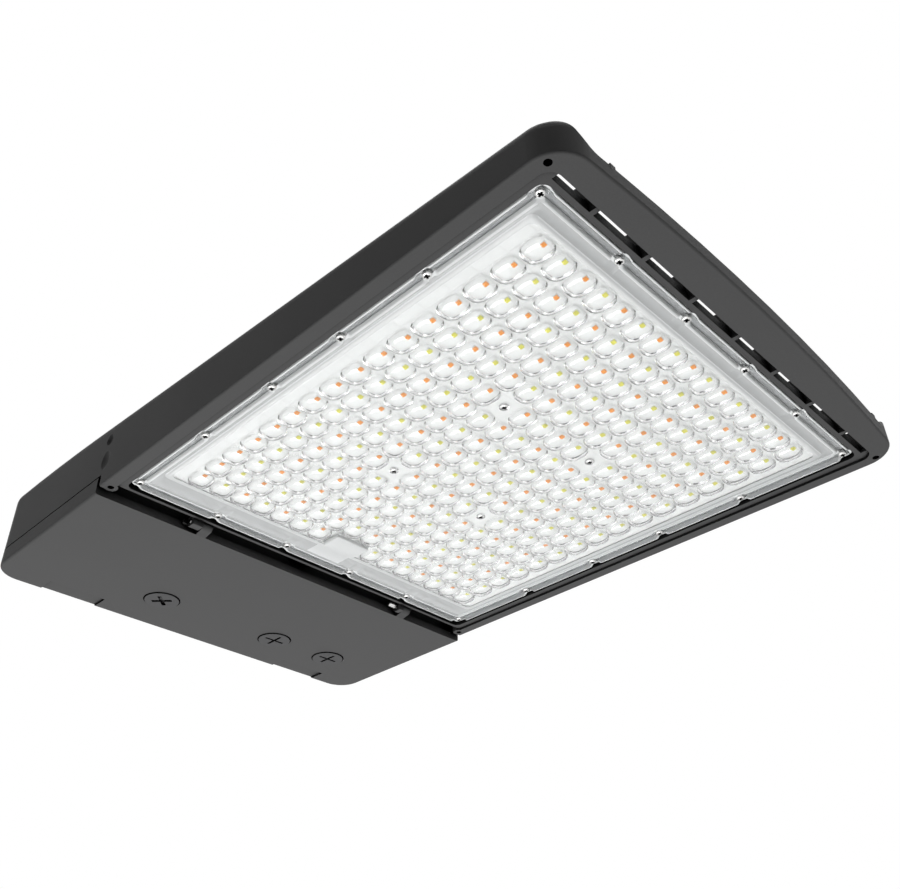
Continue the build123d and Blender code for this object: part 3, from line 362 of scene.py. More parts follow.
@dataclass(frozen=True)
class PowderCoat(Finish):
    """Satin powder paint, or nylon moulded to match, with orange peel and painted shade in its
    crevices.
    """

    peel: float = 0.9
    mottle: float = 0.10
    specular: float = 0.09
    painted_shade_reach: float = 14.0
    unshaded_span: Spot = (0.50, 0.90)
    painted_shade_tone: float = 0.004
    cloud: float = 60.0
    speck: float = 2.2
    relief: float = 0.09

    def surface(self, book: NodeBook, look: Look) -> bpy.types.NodeSocket:
        """Paint on the open faces, and painted shade, a dull dark near-black, in the crevices and
        gaps.

        Args:
            book: where its nodes go.
            look: its pattern.

        Returns:
            The shader's output.
        """
        # Painted shade: where ambient occlusion finds walls close by, the paint is mixed into a
        # matt near-black, darkening crevices, slots and gaps.
        painted_shade_tone = (self.painted_shade_tone, self.painted_shade_tone, self.painted_shade_tone, 1.0)
        painted_shade_shader = book.shader({"Base Color": painted_shade_tone, "Roughness": 1.0, "Specular IOR Level": 0.0})
        unshaded_share = book.openness(self.painted_shade_reach * MM).smooth(*self.unshaded_span)
        return book.mixed(unshaded_share, painted_shade_shader, super().surface(book, look))

    def look(self, book: NodeBook, place: Wire) -> Look:
        """Orange peel, faint clouds and small pale specks.

        Args:
            book: where its nodes go.
            place: object coordinates.

        Returns:
            The shade, roughness and relief.
        """
        peel = book.noise(place, self.peel * MM, 3.0)
        cloud = book.noise(place, self.cloud * MM, 3.0)
        specks = 1 - book.cells(place, self.speck * MM).above(0.12)
        shade = 1 - self.mottle / 2 + cloud * self.mottle + (peel - 0.5) * 0.16 + specks * 0.05
        rough = self.roughness + (peel - 0.5) * 0.14 + (cloud - 0.5) * 0.08
        gloss = {"Specular IOR Level": self.specular}
        return Look(shade, rough, peel, self.relief * MM, 0.5, gloss)


@dataclass(frozen=True)
class ClearMoulding(Finish):
    """Clear moulded plastic with a pale skin where its faces are marked as frosted."""

    ior: float = 1.49
    frost_tint: Colour = (0.93, 0.95, 0.95)
    frost_roughness: float = 0.45
    frost_specular: float = 0.3
    flow: float = 35.0
    relief: float = 0.05

    def surface(self, book: NodeBook, look: Look) -> bpy.types.NodeSocket:
        """Clear faces, with the pale skin of a frosted tool on those marked so.

        Args:
            book: where its nodes go.
            look: its pattern.

        Returns:
            The shader's output.
        """
        skin = book.shader(
            {
                "Base Color": book.tinted(self.frost_tint, look.shade),
                "Roughness": self.frost_roughness,
                "Specular IOR Level": self.frost_specular,
            }
        )
        return book.mixed(book.mark("frost"), super().surface(book, look), skin)

    def look(self, book: NodeBook, place: Wire) -> Look:
        """Faint flow marks in an otherwise even, clear surface.

        Args:
            book: where its nodes go.
            place: object coordinates.

        Returns:
            The shade, roughness and relief.
        """
        flow = book.noise(place, self.flow * MM, 1.0)
        shade, rough = 0.985 + flow * 0.015, self.roughness + flow * 0.02
        clear = {"IOR": self.ior, "Transmission Weight": 1.0}
        return Look(shade, rough, flow, self.relief * MM, 0.3, clear)


@dataclass(frozen=True)
class TurnedSteel(Finish):
    """Stainless steel with fine scratches."""

    scratch: float = 1.6
    patch: float = 1.4
    relief: float = 0.01

    def look(self, book: NodeBook, place: Wire) -> Look:
        """Scratches along one direction, dull patches and painted shade in the marked recesses.

        Args:
            book: where its nodes go.
            place: object coordinates.

        Returns:
            The shade, roughness and relief.
        """
        along = book.stretched(place, (1.0, 14.0, 1.0), 0.6)
        lines = book.noise(along, self.scratch * MM, 3.0)
        dull = book.noise(place, self.patch * MM)
        # Faces marked as recess are darkened almost to black: painted shade in the screws' cross
        # recesses.
        shade = (0.82 + lines * 0.22) * (1 - book.mark("recess") * 0.97)
        rough = self.roughness + (lines - 0.5) * 0.16 + (dull - 0.5) * 0.12
        return Look(shade, rough, lines, self.relief * MM, 0.4, {"Metallic": 1.0})


@dataclass(frozen=True)
class DrawnSheet(Finish):
    """Bare aluminium sheet with its rolling lines."""

    line: float = 1.2
    cloud: float = 25.0
    relief: float = 0.02

    def look(self, book: NodeBook, place: Wire) -> Look:
        """Long rolling lines and cloudy oxide.

        Args:
            book: where its nodes go.
            place: object coordinates.

        Returns:
            The shade, roughness and relief.
        """
        along = book.stretched(place, (0.04, 1.0, 1.0))
        lines = book.noise(along, self.line * MM, 2.0)
        oxide = book.noise(place, self.cloud * MM, 3.0)
        shade = 0.8 + lines * 0.16 + oxide * 0.12
        rough = self.roughness + (lines - 0.5) * 0.14
        return Look(shade, rough, lines, self.relief * MM, 0.4, {"Metallic": 1.0})


@dataclass(frozen=True)
class Phosphor(Finish):
    """Silicone with phosphor powder."""

    grain: float = 0.25
    relief: float = 0.02
    specular: float = 0.4

    def look(self, book: NodeBook, place: Wire) -> Look:
        """Powder grain in a smooth top.

        Args:
            book: where its nodes go.
            place: object coordinates.

        Returns:
            The shade, roughness and relief.
        """
        powder = book.noise(place, self.grain * MM, 2.0)
        shade, rough = 0.88 + powder * 0.24, self.roughness + powder * 0.1
        gloss = {"Specular IOR Level": self.specular}
        return Look(shade, rough, powder, self.relief * MM, 0.5, gloss)


@dataclass(frozen=True)
class SolderMask(Finish):
    """Board lacquer over copper tracks."""

    track: float = 17.0
    relief: float = 0.06
    row_share: float = 1.15
    gap: float = 0.6
    grain: float = 0.8

    def look(self, book: NodeBook, place: Wire) -> Look:
        """Tracks as large bricks under a smooth lacquer with a fine grain.

        Args:
            book: where its nodes go.
            place: object coordinates.

        Returns:
            The shade, roughness and relief.
        """
        bricks = book.make(
            "ShaderNodeTexBrick",
            {"offset": 0.0},
            {
                "Vector": place,
                "Color1": WHITE,
                "Color2": (0.9, 0.9, 0.9, 1.0),
                "Mortar": (0.0, 0.0, 0.0, 1.0),
                "Scale": 1.0,
                "Mortar Size": self.gap * MM,
                "Brick Width": self.track * MM,
                "Row Height": self.track * self.row_share * MM,
            },
        )
        gap = book.wire(bricks, "Fac")
        grain = book.noise(place, self.grain * MM)
        shade = 1.0 - gap * 0.05 + (grain - 0.5) * 0.03
        rough = self.roughness + (grain - 0.5) * 0.06 + gap * 0.05
        return Look(shade, rough, 1 - gap, self.relief * MM)


@dataclass(frozen=True)
class SoftSeal(Finish):
    """Silicone and rubber."""

    dust: float = 0.35
    bloom: float = 6.0
    skin: float = 0.5
    relief: float = 0.04
    specular: float = 0.3

    def look(self, book: NodeBook, place: Wire) -> Look:
        """Matt skin with a little pale bloom.

        Args:
            book: where its nodes go.
            place: object coordinates.

        Returns:
            The shade, roughness and relief.
        """
        bloom = book.noise(place, self.bloom * MM, 4.0)
        skin = book.noise(place, self.skin * MM)
        shade, rough = 1 - self.dust / 2 + bloom * self.dust, self.roughness + (skin - 0.5) * 0.1
        gloss = {"Specular IOR Level": self.specular}
        return Look(shade, rough, skin, self.relief * MM, 0.6, gloss)


@dataclass(frozen=True)
class MouldedPlastic(Finish):
    """Moulded nylon or polycarbonate with spark-eroded texture."""

    texture: float = 0.35
    flow: float = 12.0
    relief: float = 0.03

    def look(self, book: NodeBook, place: Wire) -> Look:
        """Even spark texture and slow flow lines.

        Args:
            book: where its nodes go.
            place: object coordinates.

        Returns:
            The shade, roughness and relief.
        """
        spark = book.noise(place, self.texture * MM, 3.0)
        flow = book.noise(book.stretched(place, (1.0, 0.2, 1.0)), self.flow * MM)
        shade = 0.94 + flow * 0.08 + (spark - 0.5) * 0.06
        rough = self.roughness + (spark - 0.5) * 0.12
        return Look(shade, rough, spark, self.relief * MM, 0.5)


POWDER_GREY = PowderCoat("powder_grey", (0.084, 0.084, 0.0845), 0.56)
CLEAR_OPTIC = ClearMoulding("clear_optic_moulding", (1.0, 1.0, 1.0), 0.02)
STAINLESS = TurnedSteel("stainless", (0.72, 0.72, 0.71), 0.26)
WHITE_MASK = SolderMask("white_mask", (0.86, 0.88, 0.87), 0.42)
GREEN_MASK = SolderMask("green_mask", (0.03, 0.17, 0.07), 0.38, 3.4)
WARM_PHOSPHOR = Phosphor("warm_phosphor", Tone.WARM.value, 0.35)
COOL_PHOSPHOR = Phosphor("cool_phosphor", Tone.COOL.value, 0.35)
CERAMIC = MouldedPlastic("led_ceramic", (0.82, 0.82, 0.8), 0.4)
PALE_SEAL = SoftSeal("pale_seal", (0.34, 0.355, 0.36), 0.6, 0.12)
BLACK_SEAL = SoftSeal("black_seal", (0.022, 0.022, 0.023), 0.62)
PAD_GREY = SoftSeal("pad_grey", (0.42, 0.42, 0.44), 0.7, 0.2)
# Lock heads and plug get the same painted shade in their slots, over a shorter reach.
LOCK_NYLON = PowderCoat("lock_nylon", (0.084, 0.084, 0.086), 0.55, painted_shade_reach=6.0)
WHITE_NYLON = MouldedPlastic("white_nylon", (0.78, 0.78, 0.75), 0.45)
BLACK_NYLON = MouldedPlastic("black_nylon", (0.028, 0.028, 0.029), 0.45)
DRIVER_SHEET = DrawnSheet("driver_sheet", (0.72, 0.73, 0.74), 0.36)
WIRE_BLACK = SoftSeal("wire_black", (0.02, 0.02, 0.021), 0.5)


class Wardrobe:
    """Makes each material once."""

    def __init__(self) -> None:
        """Start with no material made."""
        self.made: dict[str, bpy.types.Material] = {}

    def get(self, finish: Finish) -> bpy.types.Material:
        """Material of a finish, made on first use.

        Args:
            finish: what is wanted.

        Returns:
            Its material.
        """
        if finish.name not in self.made:
            self.made[finish.name] = finish.material()
        return self.made[finish.name]

    def dress(self, finish: Finish, nodes: Iterable[str]) -> None:
        """Put a finish on solids that stay in view.

        Args:
            finish: what they are finished in.
            nodes: names of the solids.
        """
        for name in nodes:
            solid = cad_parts[name]
            if not solid.material_slots:
                solid.data.materials.append(None)
            for slot in solid.material_slots:
                slot.material = self.get(finish)
            LOG.info("dressed %s in %s", name, finish.name)


def add_object(name: str, shape: bmesh.types.BMesh) -> bpy.types.Object:
    """Turn mesh code into an object at the origin.

    Args:
        name: the object's name.
        shape: the mesh, which is used up.

    Returns:
        The new object, linked to the scene.
    """
    mesh = bpy.data.meshes.new(name)
    shape.to_mesh(mesh)
    shape.free()
    made = bpy.data.objects.new(name, mesh)
    bpy.context.scene.collection.objects.link(made)
    return made


def drop(thing: bpy.types.Object) -> None:
    """Remove a helper object with its mesh.

    Args:
        thing: the helper.
    """
    mesh = thing.data
    bpy.data.objects.remove(thing)
    bpy.data.meshes.remove(mesh)


def soften(thing: bpy.types.Object, angle: float) -> None:
    """Shade smooth up to an angle in degrees."""
    thing.data.shade_smooth()
    thing.data.set_sharp_from_angle(angle=math.radians(angle))


def mark_faces(thing: bpy.types.Object, name: str, values: Sequence[float]) -> None:
    """Give each face of an object a value that its material reads.

    Args:
        thing: the object.
        name: the attribute's name.
        values: one value for each face.
    """
    layer = thing.data.attributes.new(name, "FLOAT", "FACE")
    layer.data.foreach_set("value", values)


def rings_to_faces(
    shape: bmesh.types.BMesh, loops: Sequence[Sequence[bmesh.types.BMVert]], closed: bool = True
) -> None:
    """Join loops of equal length by quads.

    Args:
        shape: mesh that the loops are in.
        loops: vertex loops in order.
        closed: True to cap the last loop with one face.
    """
    for first, second in zip(loops[:-1], loops[1:]):
        count = len(first)
        for step in range(count):
            after = (step + 1) % count
            shape.faces.new((first[step], first[after], second[after], second[step]))
    if closed:
        shape.faces.new(loops[-1])


class StampTree:
    """Geometry node tree that sets one shape of named sizes on many points."""

    INPUTS = (
        ("Shape", "NodeSocketObject"),
        ("Width", "NodeSocketFloat"),
        ("Length", "NodeSocketFloat"),
        ("Height", "NodeSocketFloat"),
        ("Turn", "NodeSocketFloat"),
        ("Seed", "NodeSocketInt"),
        ("Finish", "NodeSocketMaterial"),
    )

    def __init__(self) -> None:
        """Build the tree with its named inputs."""
        self.tree = bpy.data.node_groups.new("stamp_on_points", "GeometryNodeTree")
        face = self.tree.interface
        face.new_socket("Points", in_out="INPUT", socket_type="NodeSocketGeometry")
        self.keys = {
            label: face.new_socket(label, in_out="INPUT", socket_type=kind).identifier
            for label, kind in self.INPUTS
        }
        face.new_socket("Stamped", in_out="OUTPUT", socket_type="NodeSocketGeometry")
        book = NodeBook(self.tree)
        given = book.make("NodeGroupInput")
        shape = book.make("GeometryNodeObjectInfo", {}, {"Object": given.outputs["Shape"]})
        size = book.make(
            "ShaderNodeCombineXYZ",
            {},
            {0: given.outputs["Width"], 1: given.outputs["Length"], 2: given.outputs["Height"]},
        )
        turn = book.make(
            "FunctionNodeRandomValue",
            {"data_type": "FLOAT"},
            {2: 0.0, 3: given.outputs["Turn"], 8: given.outputs["Seed"]},
        )
        spin = book.make("ShaderNodeCombineXYZ", {}, {2: turn.outputs[1]})
        stamped = book.make(
            "GeometryNodeInstanceOnPoints",
            {},
            {
                "Points": given.outputs["Points"],
                "Instance": shape.outputs["Geometry"],
                "Rotation": spin.outputs[0],
                "Scale": size.outputs[0],
            },
        )
        real = book.make("GeometryNodeRealizeInstances", {}, {0: stamped.outputs[0]})
        dressed = book.make(
            "GeometryNodeSetMaterial",
            {},
            {"Geometry": real.outputs[0], "Material": given.outputs["Finish"]},
        )
        book.make("NodeGroupOutput", {}, {0: dressed.outputs[0]})

    def press(
        self, name: str, shape: bpy.types.Object, spots: Sequence[Spot], level: float, **sizes: Any
    ) -> bpy.types.Object:
        """Stamp a shape on spots of one level and make the result a plain mesh.

        Args:
            name: the new object's name.
            shape: unit shape, removed afterwards.
            spots: places in millimetres.
            level: height of the spots in millimetres.
            sizes: values of the tree's named inputs, lengths in metres.

        Returns:
            Object with a plain mesh and no modifier.
        """
        points = bmesh.new()
        for x, y in spots:
            points.verts.new((x * MM, y * MM, level * MM))
        carrier = add_object(name + "_points", points)
        stamp = carrier.modifiers.new("stamp", "NODES")
        stamp.node_group = self.tree
        for label, value in {"Shape": shape, "Turn": 0.0, "Seed": 7, **sizes}.items():
            stamp[self.keys[label]] = value
        graph = bpy.context.evaluated_depsgraph_get()
        mesh = bpy.data.meshes.new_from_object(carrier.evaluated_get(graph), depsgraph=graph)
        mesh.name = name
        drop(carrier)
        drop(shape)
        made = bpy.data.objects.new(name, mesh)
        bpy.context.scene.collection.objects.link(made)
        return made


def outline_point(x: float, y: float, half_x: float, half_y: float, radius: float) -> Spot:
    """Pull a point of a rectangle's outline onto its rounded corner.

    Args:
        x: place across, from the middle.
        y: place along, from the middle.
        half_x: half width.
        half_y: half length.
        radius: corner radius.

    Returns:
        The point on the rounded outline.
    """
    over_x = abs(x) - (half_x - radius)
    over_y = abs(y) - (half_y - radius)
    if over_x <= 0 or over_y <= 0:
        return x, y
    pull = radius / math.hypot(over_x, over_y)
    return (
        math.copysign(half_x - radius + over_x * pull, x),
        math.copysign(half_y - radius + over_y * pull, y),
    )


def ease(low: float, high: float, value: float) -> float:
    """Smooth step from 0 at low to 1 at high."""
    share = min(max((value - low) / (high - low), 0.0), 1.0)
    return share * share * (3 - 2 * share)


@dataclass
class LedGrid:
    """Places of the LED cells, in millimetres."""

    columns: int = 16
    rows: int = 16
    pitch_x: float = 17.0
    pitch_y: float = 19.6
    middle_y: float = 354.0
    screw_inset: int = 5
    led_forward: float = 4.0

    def spot(self, column: int, row: int) -> Spot:
        """Middle of a cell.

        Args:
            column: its column, counted from +X.
            row: its row, counted from the nose.

        Returns:
            The place.
        """
        return (
            ((self.columns - 1) / 2 - column) * self.pitch_x,
            self.middle_y + ((self.rows - 1) / 2 - row) * self.pitch_y,
        )

    def screw_cells(self) -> list[tuple[int, int]]:
        """Cells that hold a screw in place of an LED."""
        ends = (self.screw_inset, self.columns - 1 - self.screw_inset)
        return [(column, row) for column in ends for row in ends]

    def blank_cells(self) -> list[tuple[int, int]]:
        """Cells under the blank over the connector."""
        return [(self.columns // 2 - 1, self.rows - 1), (self.columns // 2, self.rows - 1)]

    def lit(self, parity: int | None = None) -> list[Spot]:
        """Middles of the cells with an LED.

        Args:
            parity: 0 or 1 for every other column, None for all of them.

        Returns:
            The places.
        """
        empty = self.screw_cells() + self.blank_cells()
        return [
            self.spot(column, row)
            for column in range(self.columns)
            for row in range(self.rows)
            if (column, row) not in empty and parity in (None, column % 2)
        ]


@dataclass
class OpticPlate:
    """Clear plate, in millimetres: a dome over each LED, screw wells, a blank, a ribbed flange."""

    grid: LedGrid
    stamps: StampTree
    wardrobe: Wardrobe
    dome_width: float = 15.4
    dome_length: float = 18.0
    dome_radius: float = 6.0
    dome_height: float = 3.0
    dome_steps: tuple[Spot, ...] = ((0.95, 0.52), (0.84, 0.86), (0.60, 0.98))
    dome_wall: float = 1.1
    dome_frost: float = 0.12
    slope_frost: float = 0.9
    plateau_frost: float = 0.5
    recess_frost: float = 0.6
    border_frost: float = 0.7
    border_width: float = 3.4
    rib_top: float = 1.2
    slope_span: Spot = (6.2, 6.6)
    rib_end: float = 8.6
    steep_span: Spot = (0.04, 0.30)
    upward: float = 0.1
    under_gap: float = 0.9
    crease: float = 50.0
    well_radius: float = 3.3
    well_depth: float = 1.1
    well_seat_z: float = -27.6
    blank_width: float = 30.0
    blank_height: float = 2.5
    blank_radius: float = 1.2
    blank_bevel: float = 0.3
    blank_inset: float = 0.7
    blank_edge: float = 0.4
    blank_frost: float = 0.8
    platform_z: float = -29.0
    platform_half_x: float = 147.5
    platform_half_y: float = 161.0
    platform_radius: float = 4.0
    platform_slope: float = 0.6
    platform_foot_z: float = -28.4
    flange_half_x: float = 159.3
    flange_half_y: float = 180.35
    flange_middle_y: float = 350.65
    flange_radius: float = 4.0
    flange_taper: float = 0.3
    flange_least_radius: float = 1.5
    under_z: float = -26.05
    recess_z: float = -27.85
    recess_half_x: float = 146.0
    recess_half_y: float = 159.5
    recess_radius: float = 1.0
    boss_z: float = -28.0
    screw_inset_x: float = 4.7
    screw_inset_y: float = 5.5
    side_steps: tuple[float, ...] = (-99.0, -31.0, 31.0, 99.0)
    end_pitch: float = 61.5
    end_count: int = 4
    cuts: int = 4
    weld_gap: float = 0.02

    def screw_spots(self) -> list[Spot]:
        """Places of the screws round the flange.

        Returns:
            Places in millimetres.
        """
        reach_x = self.flange_half_x - self.screw_inset_x
        reach_y = self.flange_half_y - self.screw_inset_y
        spots = [
            (side * reach_x, self.flange_middle_y + y)
            for side in (-1, 1)
            for y in (-reach_y, *self.side_steps, reach_y)
        ]
        middle = (self.end_count - 1) / 2
        spots += [
            (self.end_pitch * (step - middle), self.flange_middle_y + end * reach_y)
            for end in (-1, 1)
            for step in range(self.end_count)
        ]
        return spots

    def border(self, half_x: float, half_y: float, count_x: int, count_y: int) -> list[Spot]:
        """Points round a rectangle, anticlockwise from its lower right corner.

        Args:
            half_x: half width.
            half_y: half length.
            count_x: segments across.
            count_y: segments along.

        Returns:
            The points.
        """
        points = [(half_x, half_y * (2 * step / count_y - 1)) for step in range(count_y)]
        points += [(half_x * (1 - 2 * step / count_x), half_y) for step in range(count_x)]
        points += [(-half_x, half_y * (1 - 2 * step / count_y)) for step in range(count_y)]
        points += [(half_x * (2 * step / count_x - 1), -half_y) for step in range(count_x)]
        return points

    def relief_cell(self, name: str, wide: int, steps: Sequence[Outline]) -> bpy.types.Object:
        """Unit patch: a flat border round stacked rounded outlines, closed by the last one.

        Args:
            name: the helper's name.
            wide: how many cells it spans across.
            steps: half width, half length, corner radius and depth of each outline in millimetres.

        Returns:
            Helper object of one cell pitch for each unit.
        """
        half_x = self.grid.pitch_x * wide / 2
        half_y = self.grid.pitch_y / 2
        edge = self.border(half_x, half_y, self.cuts * wide, self.cuts)
        shape = bmesh.new()

        def loop(points: Iterable[Spot], depth: float) -> list[bmesh.types.BMVert]:
            """Add one outline at a depth.

            Args:
                points: the outline in millimetres.
                depth: how far below the border it lies, in millimetres.

            Returns:
                Its vertices.
            """
            level = -depth / self.dome_height
            return [
                shape.verts.new((x / self.grid.pitch_x, y / self.grid.pitch_y, level))
                for x, y in points
            ]

        loops = [loop(edge, 0.0)]
        for wide_half, long_half, radius, depth in steps:
            scaled = [(x * wide_half / half_x, y * long_half / half_y) for x, y in edge]
            points = [outline_point(x, y, wide_half, long_half, radius) for x, y in scaled]
            loops.append(loop(points, depth))
        rings_to_faces(shape, loops)
        return add_object(name, shape)

    def dome_outlines(self, wall: float, height: float) -> list[Outline]:
        """Stacked outlines of a dome, or of the hollow under it.

        Args:
            wall: how far they stand in from the dome's side.
            height: how far they reach down.

        Returns:
            The outlines from the rim to the top.
        """
        half_w, half_l = self.dome_width / 2 - wall, self.dome_length / 2 - wall
        radius = self.dome_radius - wall
        return [
            (half_w * share, half_l * share, radius * share, height * rise)
            for share, rise in ((1.0, 0.0), *self.dome_steps)
        ]

    def blank_spot(self) -> Spot:
        """Middle of the blank over the connector."""
        spots = [self.grid.spot(*cell) for cell in self.grid.blank_cells()]
        return sum(x for x, _ in spots) / len(spots), spots[0][1]

    def reliefs(self) -> bmesh.types.BMesh:
        """Outer sheet with domes, wells and blank, and inner sheet with hollows under the domes.

        Returns:
            Both sheets in one mesh, open at their outer borders.
        """
        half_l = self.dome_length / 2
        dome = self.dome_outlines(0.0, self.dome_height)
        hollow = self.dome_outlines(
            self.dome_wall, self.recess_z - self.platform_z + self.dome_height - self.dome_wall
        )
        well = [(self.well_radius,) * 3 + (depth,) for depth in (0.0, -self.well_depth)]
        blank_half = self.blank_width / 2
        blank = [
            (blank_half - inset, half_l - inset, self.blank_radius, depth)
            for inset, depth in (
                (0.0, 0.0),
                (self.blank_bevel, self.blank_height - self.blank_bevel),
                (self.blank_inset, self.blank_height),
            )
        ]
        blank_spot = self.blank_spot()
        well_spots = [self.grid.spot(*cell) for cell in self.grid.screw_cells()]
        sheet = bmesh.new()
        for name, wide, steps, spots, level in (
            ("dome_cells", 1, dome, self.grid.lit(), self.platform_z),
            ("well_cells", 1, well, well_spots, self.platform_z),
            ("blank_cell", 2, blank, [blank_spot], self.platform_z),
            ("hollow_cells", 1, hollow, self.grid.lit(), self.recess_z),
            ("well_backs", 1, [], well_spots, self.recess_z),
            ("blank_back", 2, [], [blank_spot], self.recess_z),
        ):
            pressed = self.stamps.press(
                name,
                self.relief_cell(name + "_unit", wide, steps),
                spots,
                level,
                Width=self.grid.pitch_x * MM,
                Length=self.grid.pitch_y * MM,
                Height=self.dome_height * MM,
                Finish=self.wardrobe.get(CLEAR_OPTIC),
            )
            sheet.from_mesh(pressed.data)
            drop(pressed)
        bmesh.ops.remove_doubles(sheet, verts=sheet.verts[:], dist=self.weld_gap * MM)
        return sheet

    def rounded(self, half_x: float, half_y: float, radius: float, middle_y: float) -> list[Spot]:
        """Rounded outline with as many points as every ring of the plate.

        Args:
            half_x: half width.
            half_y: half length.
            radius: corner radius.
            middle_y: where its middle lies along the plate.

        Returns:
            The points.
        """
        count_x = self.grid.columns * self.cuts * self.cuts
        count_y = self.grid.rows * self.cuts * self.cuts
        square = self.border(half_x, half_y, count_x, count_y)
        points = [outline_point(x, y, half_x, half_y, radius) for x, y in square]
        return [(x, y + middle_y) for x, y in points]

    def flange_rings(self) -> list[list[Vector]]:
        """Outlines of the flange from its upper edge to the platform.

        Returns:
            Loops of points in metres, all of one length.
        """
        # Inset, level between the bosses, level on a boss, and how far from a screw the slope
        # between the two starts and ends
        profile = (
            (0.0, self.under_z, self.under_z, 1.0, 2.0),
            (0.0, -30.1, -28.2, 5.2, 6.6),
            (0.35, -30.5, -28.5, 5.2, 6.6),
            (1.15, -30.5, -28.5, 5.2, 6.6),
            (1.55, -30.1, -28.2, 5.0, 6.4),
            (1.9, -27.5, self.boss_z, 4.0, 5.2),
            (2.8, -27.4, self.boss_z, 4.0, 5.2),
            (4.7, -27.4, self.boss_z, 4.0, 5.2),
            (6.3, -27.5, self.boss_z, 4.0, 5.2),
            (6.9, -29.2, self.boss_z, 4.2, 5.6),
            (7.3, -29.6, self.boss_z, 4.2, 5.6),
            (8.5, -29.6, self.boss_z, 4.2, 5.8),
            (9.1, -28.4, self.boss_z, 4.2, 5.8),
        )
        spots = self.screw_spots()
        rings = []
        for inset, level, boss, near, far in profile:
            half_x, half_y = self.flange_half_x - inset, self.flange_half_y - inset
            radius = max(self.flange_radius - inset * self.flange_taper, self.flange_least_radius)
            ring = []
            for x, y in self.rounded(half_x, half_y, radius, self.flange_middle_y):
                gap = min(math.hypot(x - spot_x, y - spot_y) for spot_x, spot_y in spots)
                share = ease(near, far, gap)
                ring.append(Vector((x, y, boss + (level - boss) * share)) * MM)
            rings.append(ring)
        platform = self.platform_half_x, self.platform_half_y, self.platform_radius
        recess = self.recess_half_x, self.recess_half_y, self.recess_radius
        middle_rings = []
        for (half_x, half_y, radius), spread, level in (
            (recess, 0.0, self.recess_z),
            (recess, 0.0, self.under_z),
            (platform, self.platform_slope, self.platform_foot_z),
            (platform, 0.0, self.platform_z),
            (platform, -self.border_width, self.platform_z),
        ):
            points = self.rounded(half_x + spread, half_y + spread, radius, self.grid.middle_y)
            middle_rings.append([Vector((x, y, level)) * MM for x, y in points])
        return middle_rings[:2] + rings + middle_rings[2:]

    def weld(
        self, sheet: bmesh.types.BMesh, outer: Sequence[bmesh.types.BMVert], level: float
    ) -> None:
        """Join the border of a relief to a ring of the flange.

        Args:
            sheet: mesh that holds both.
            outer: the ring, with as many points for each of the border's as there are cuts.
            level: height of the relief.
        """
        half_x = self.grid.columns * self.grid.pitch_x / 2
        half_y = self.grid.rows * self.grid.pitch_y / 2
        count_x, count_y = self.grid.columns * self.cuts, self.grid.rows * self.cuts
        rim = [
            Vector((x, y + self.grid.middle_y, level)) * MM
            for x, y in self.border(half_x, half_y, count_x, count_y)
        ]
        sheet.verts.ensure_lookup_table()
        nearest = KDTree(len(sheet.verts))
        for number, vert in enumerate(sheet.verts):
            nearest.insert(vert.co, number)
        nearest.balance()
        inner = [sheet.verts[nearest.find(point)[1]] for point in rim]
        for step, vert in enumerate(inner):
            after = (step + 1) % len(inner)
            span = [outer[(step * self.cuts + cut) % len(outer)] for cut in range(self.cuts + 1)]
            sheet.faces.new((vert, *span, inner[after]))

    def frost(self, middle: Vector, facing: Vector) -> float:
        """Share of pale skin on one face: most on the ribs and the blank, little on the domes.

        Args:
            middle: the face's middle in metres.
            facing: its outward direction.

        Returns:
            A share from 0 for clear to 1 for frosted.
        """
        x, y, z = middle / MM
        steep = ease(*self.steep_span, 1 - abs(facing.z))
        past_x = abs(x) - self.platform_half_x
        past = max(past_x, abs(y - self.grid.middle_y) - self.platform_half_y)
        if z > self.boss_z + self.under_gap:
            return self.recess_frost * steep * (past < 0)
        if facing.z > self.upward:
            return 0.0
        blank_x, blank_y = self.blank_spot()
        inset = min(self.flange_half_x - abs(x), self.flange_half_y - abs(y - self.flange_middle_y))
        behind = y < blank_y + self.dome_length / 2 + self.blank_edge and inset > self.rib_end
        if behind and abs(x - blank_x) < self.blank_width / 2 + self.blank_edge:
            return self.blank_frost
        if past < -self.border_width:
            return self.dome_frost * steep
        if past < 0:
            return self.border_frost
        if inset > self.rib_end:
            return max(self.plateau_frost, self.slope_frost * steep)
        if inset < self.rib_top:
            return self.slope_frost
        return self.slope_frost * ease(*self.slope_span, inset)

    def build(self) -> bpy.types.Object:
        """Weld the reliefs to the flange and close the plate.

        Returns:
            The finished plate.
        """
        sheet = self.reliefs()
        rings = [[sheet.verts.new(point) for point in ring] for ring in self.flange_rings()]
        rings_to_faces(sheet, rings, closed=False)
        self.weld(sheet, rings[0], self.recess_z)
        self.weld(sheet, rings[-1], self.platform_z)
        bmesh.ops.recalc_face_normals(sheet, faces=sheet.faces[:])
        shares = [self.frost(face.calc_center_median(), face.normal) for face in sheet.faces]
        plate = add_object("optic_plate", sheet)
        mark_faces(plate, "frost", shares)
        plate.data.materials.clear()
        plate.data.materials.append(self.wardrobe.get(CLEAR_OPTIC))
        soften(plate, self.crease)
        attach(plate, Body.HOUSING.value)
        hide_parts("lens_plate")
        return plate


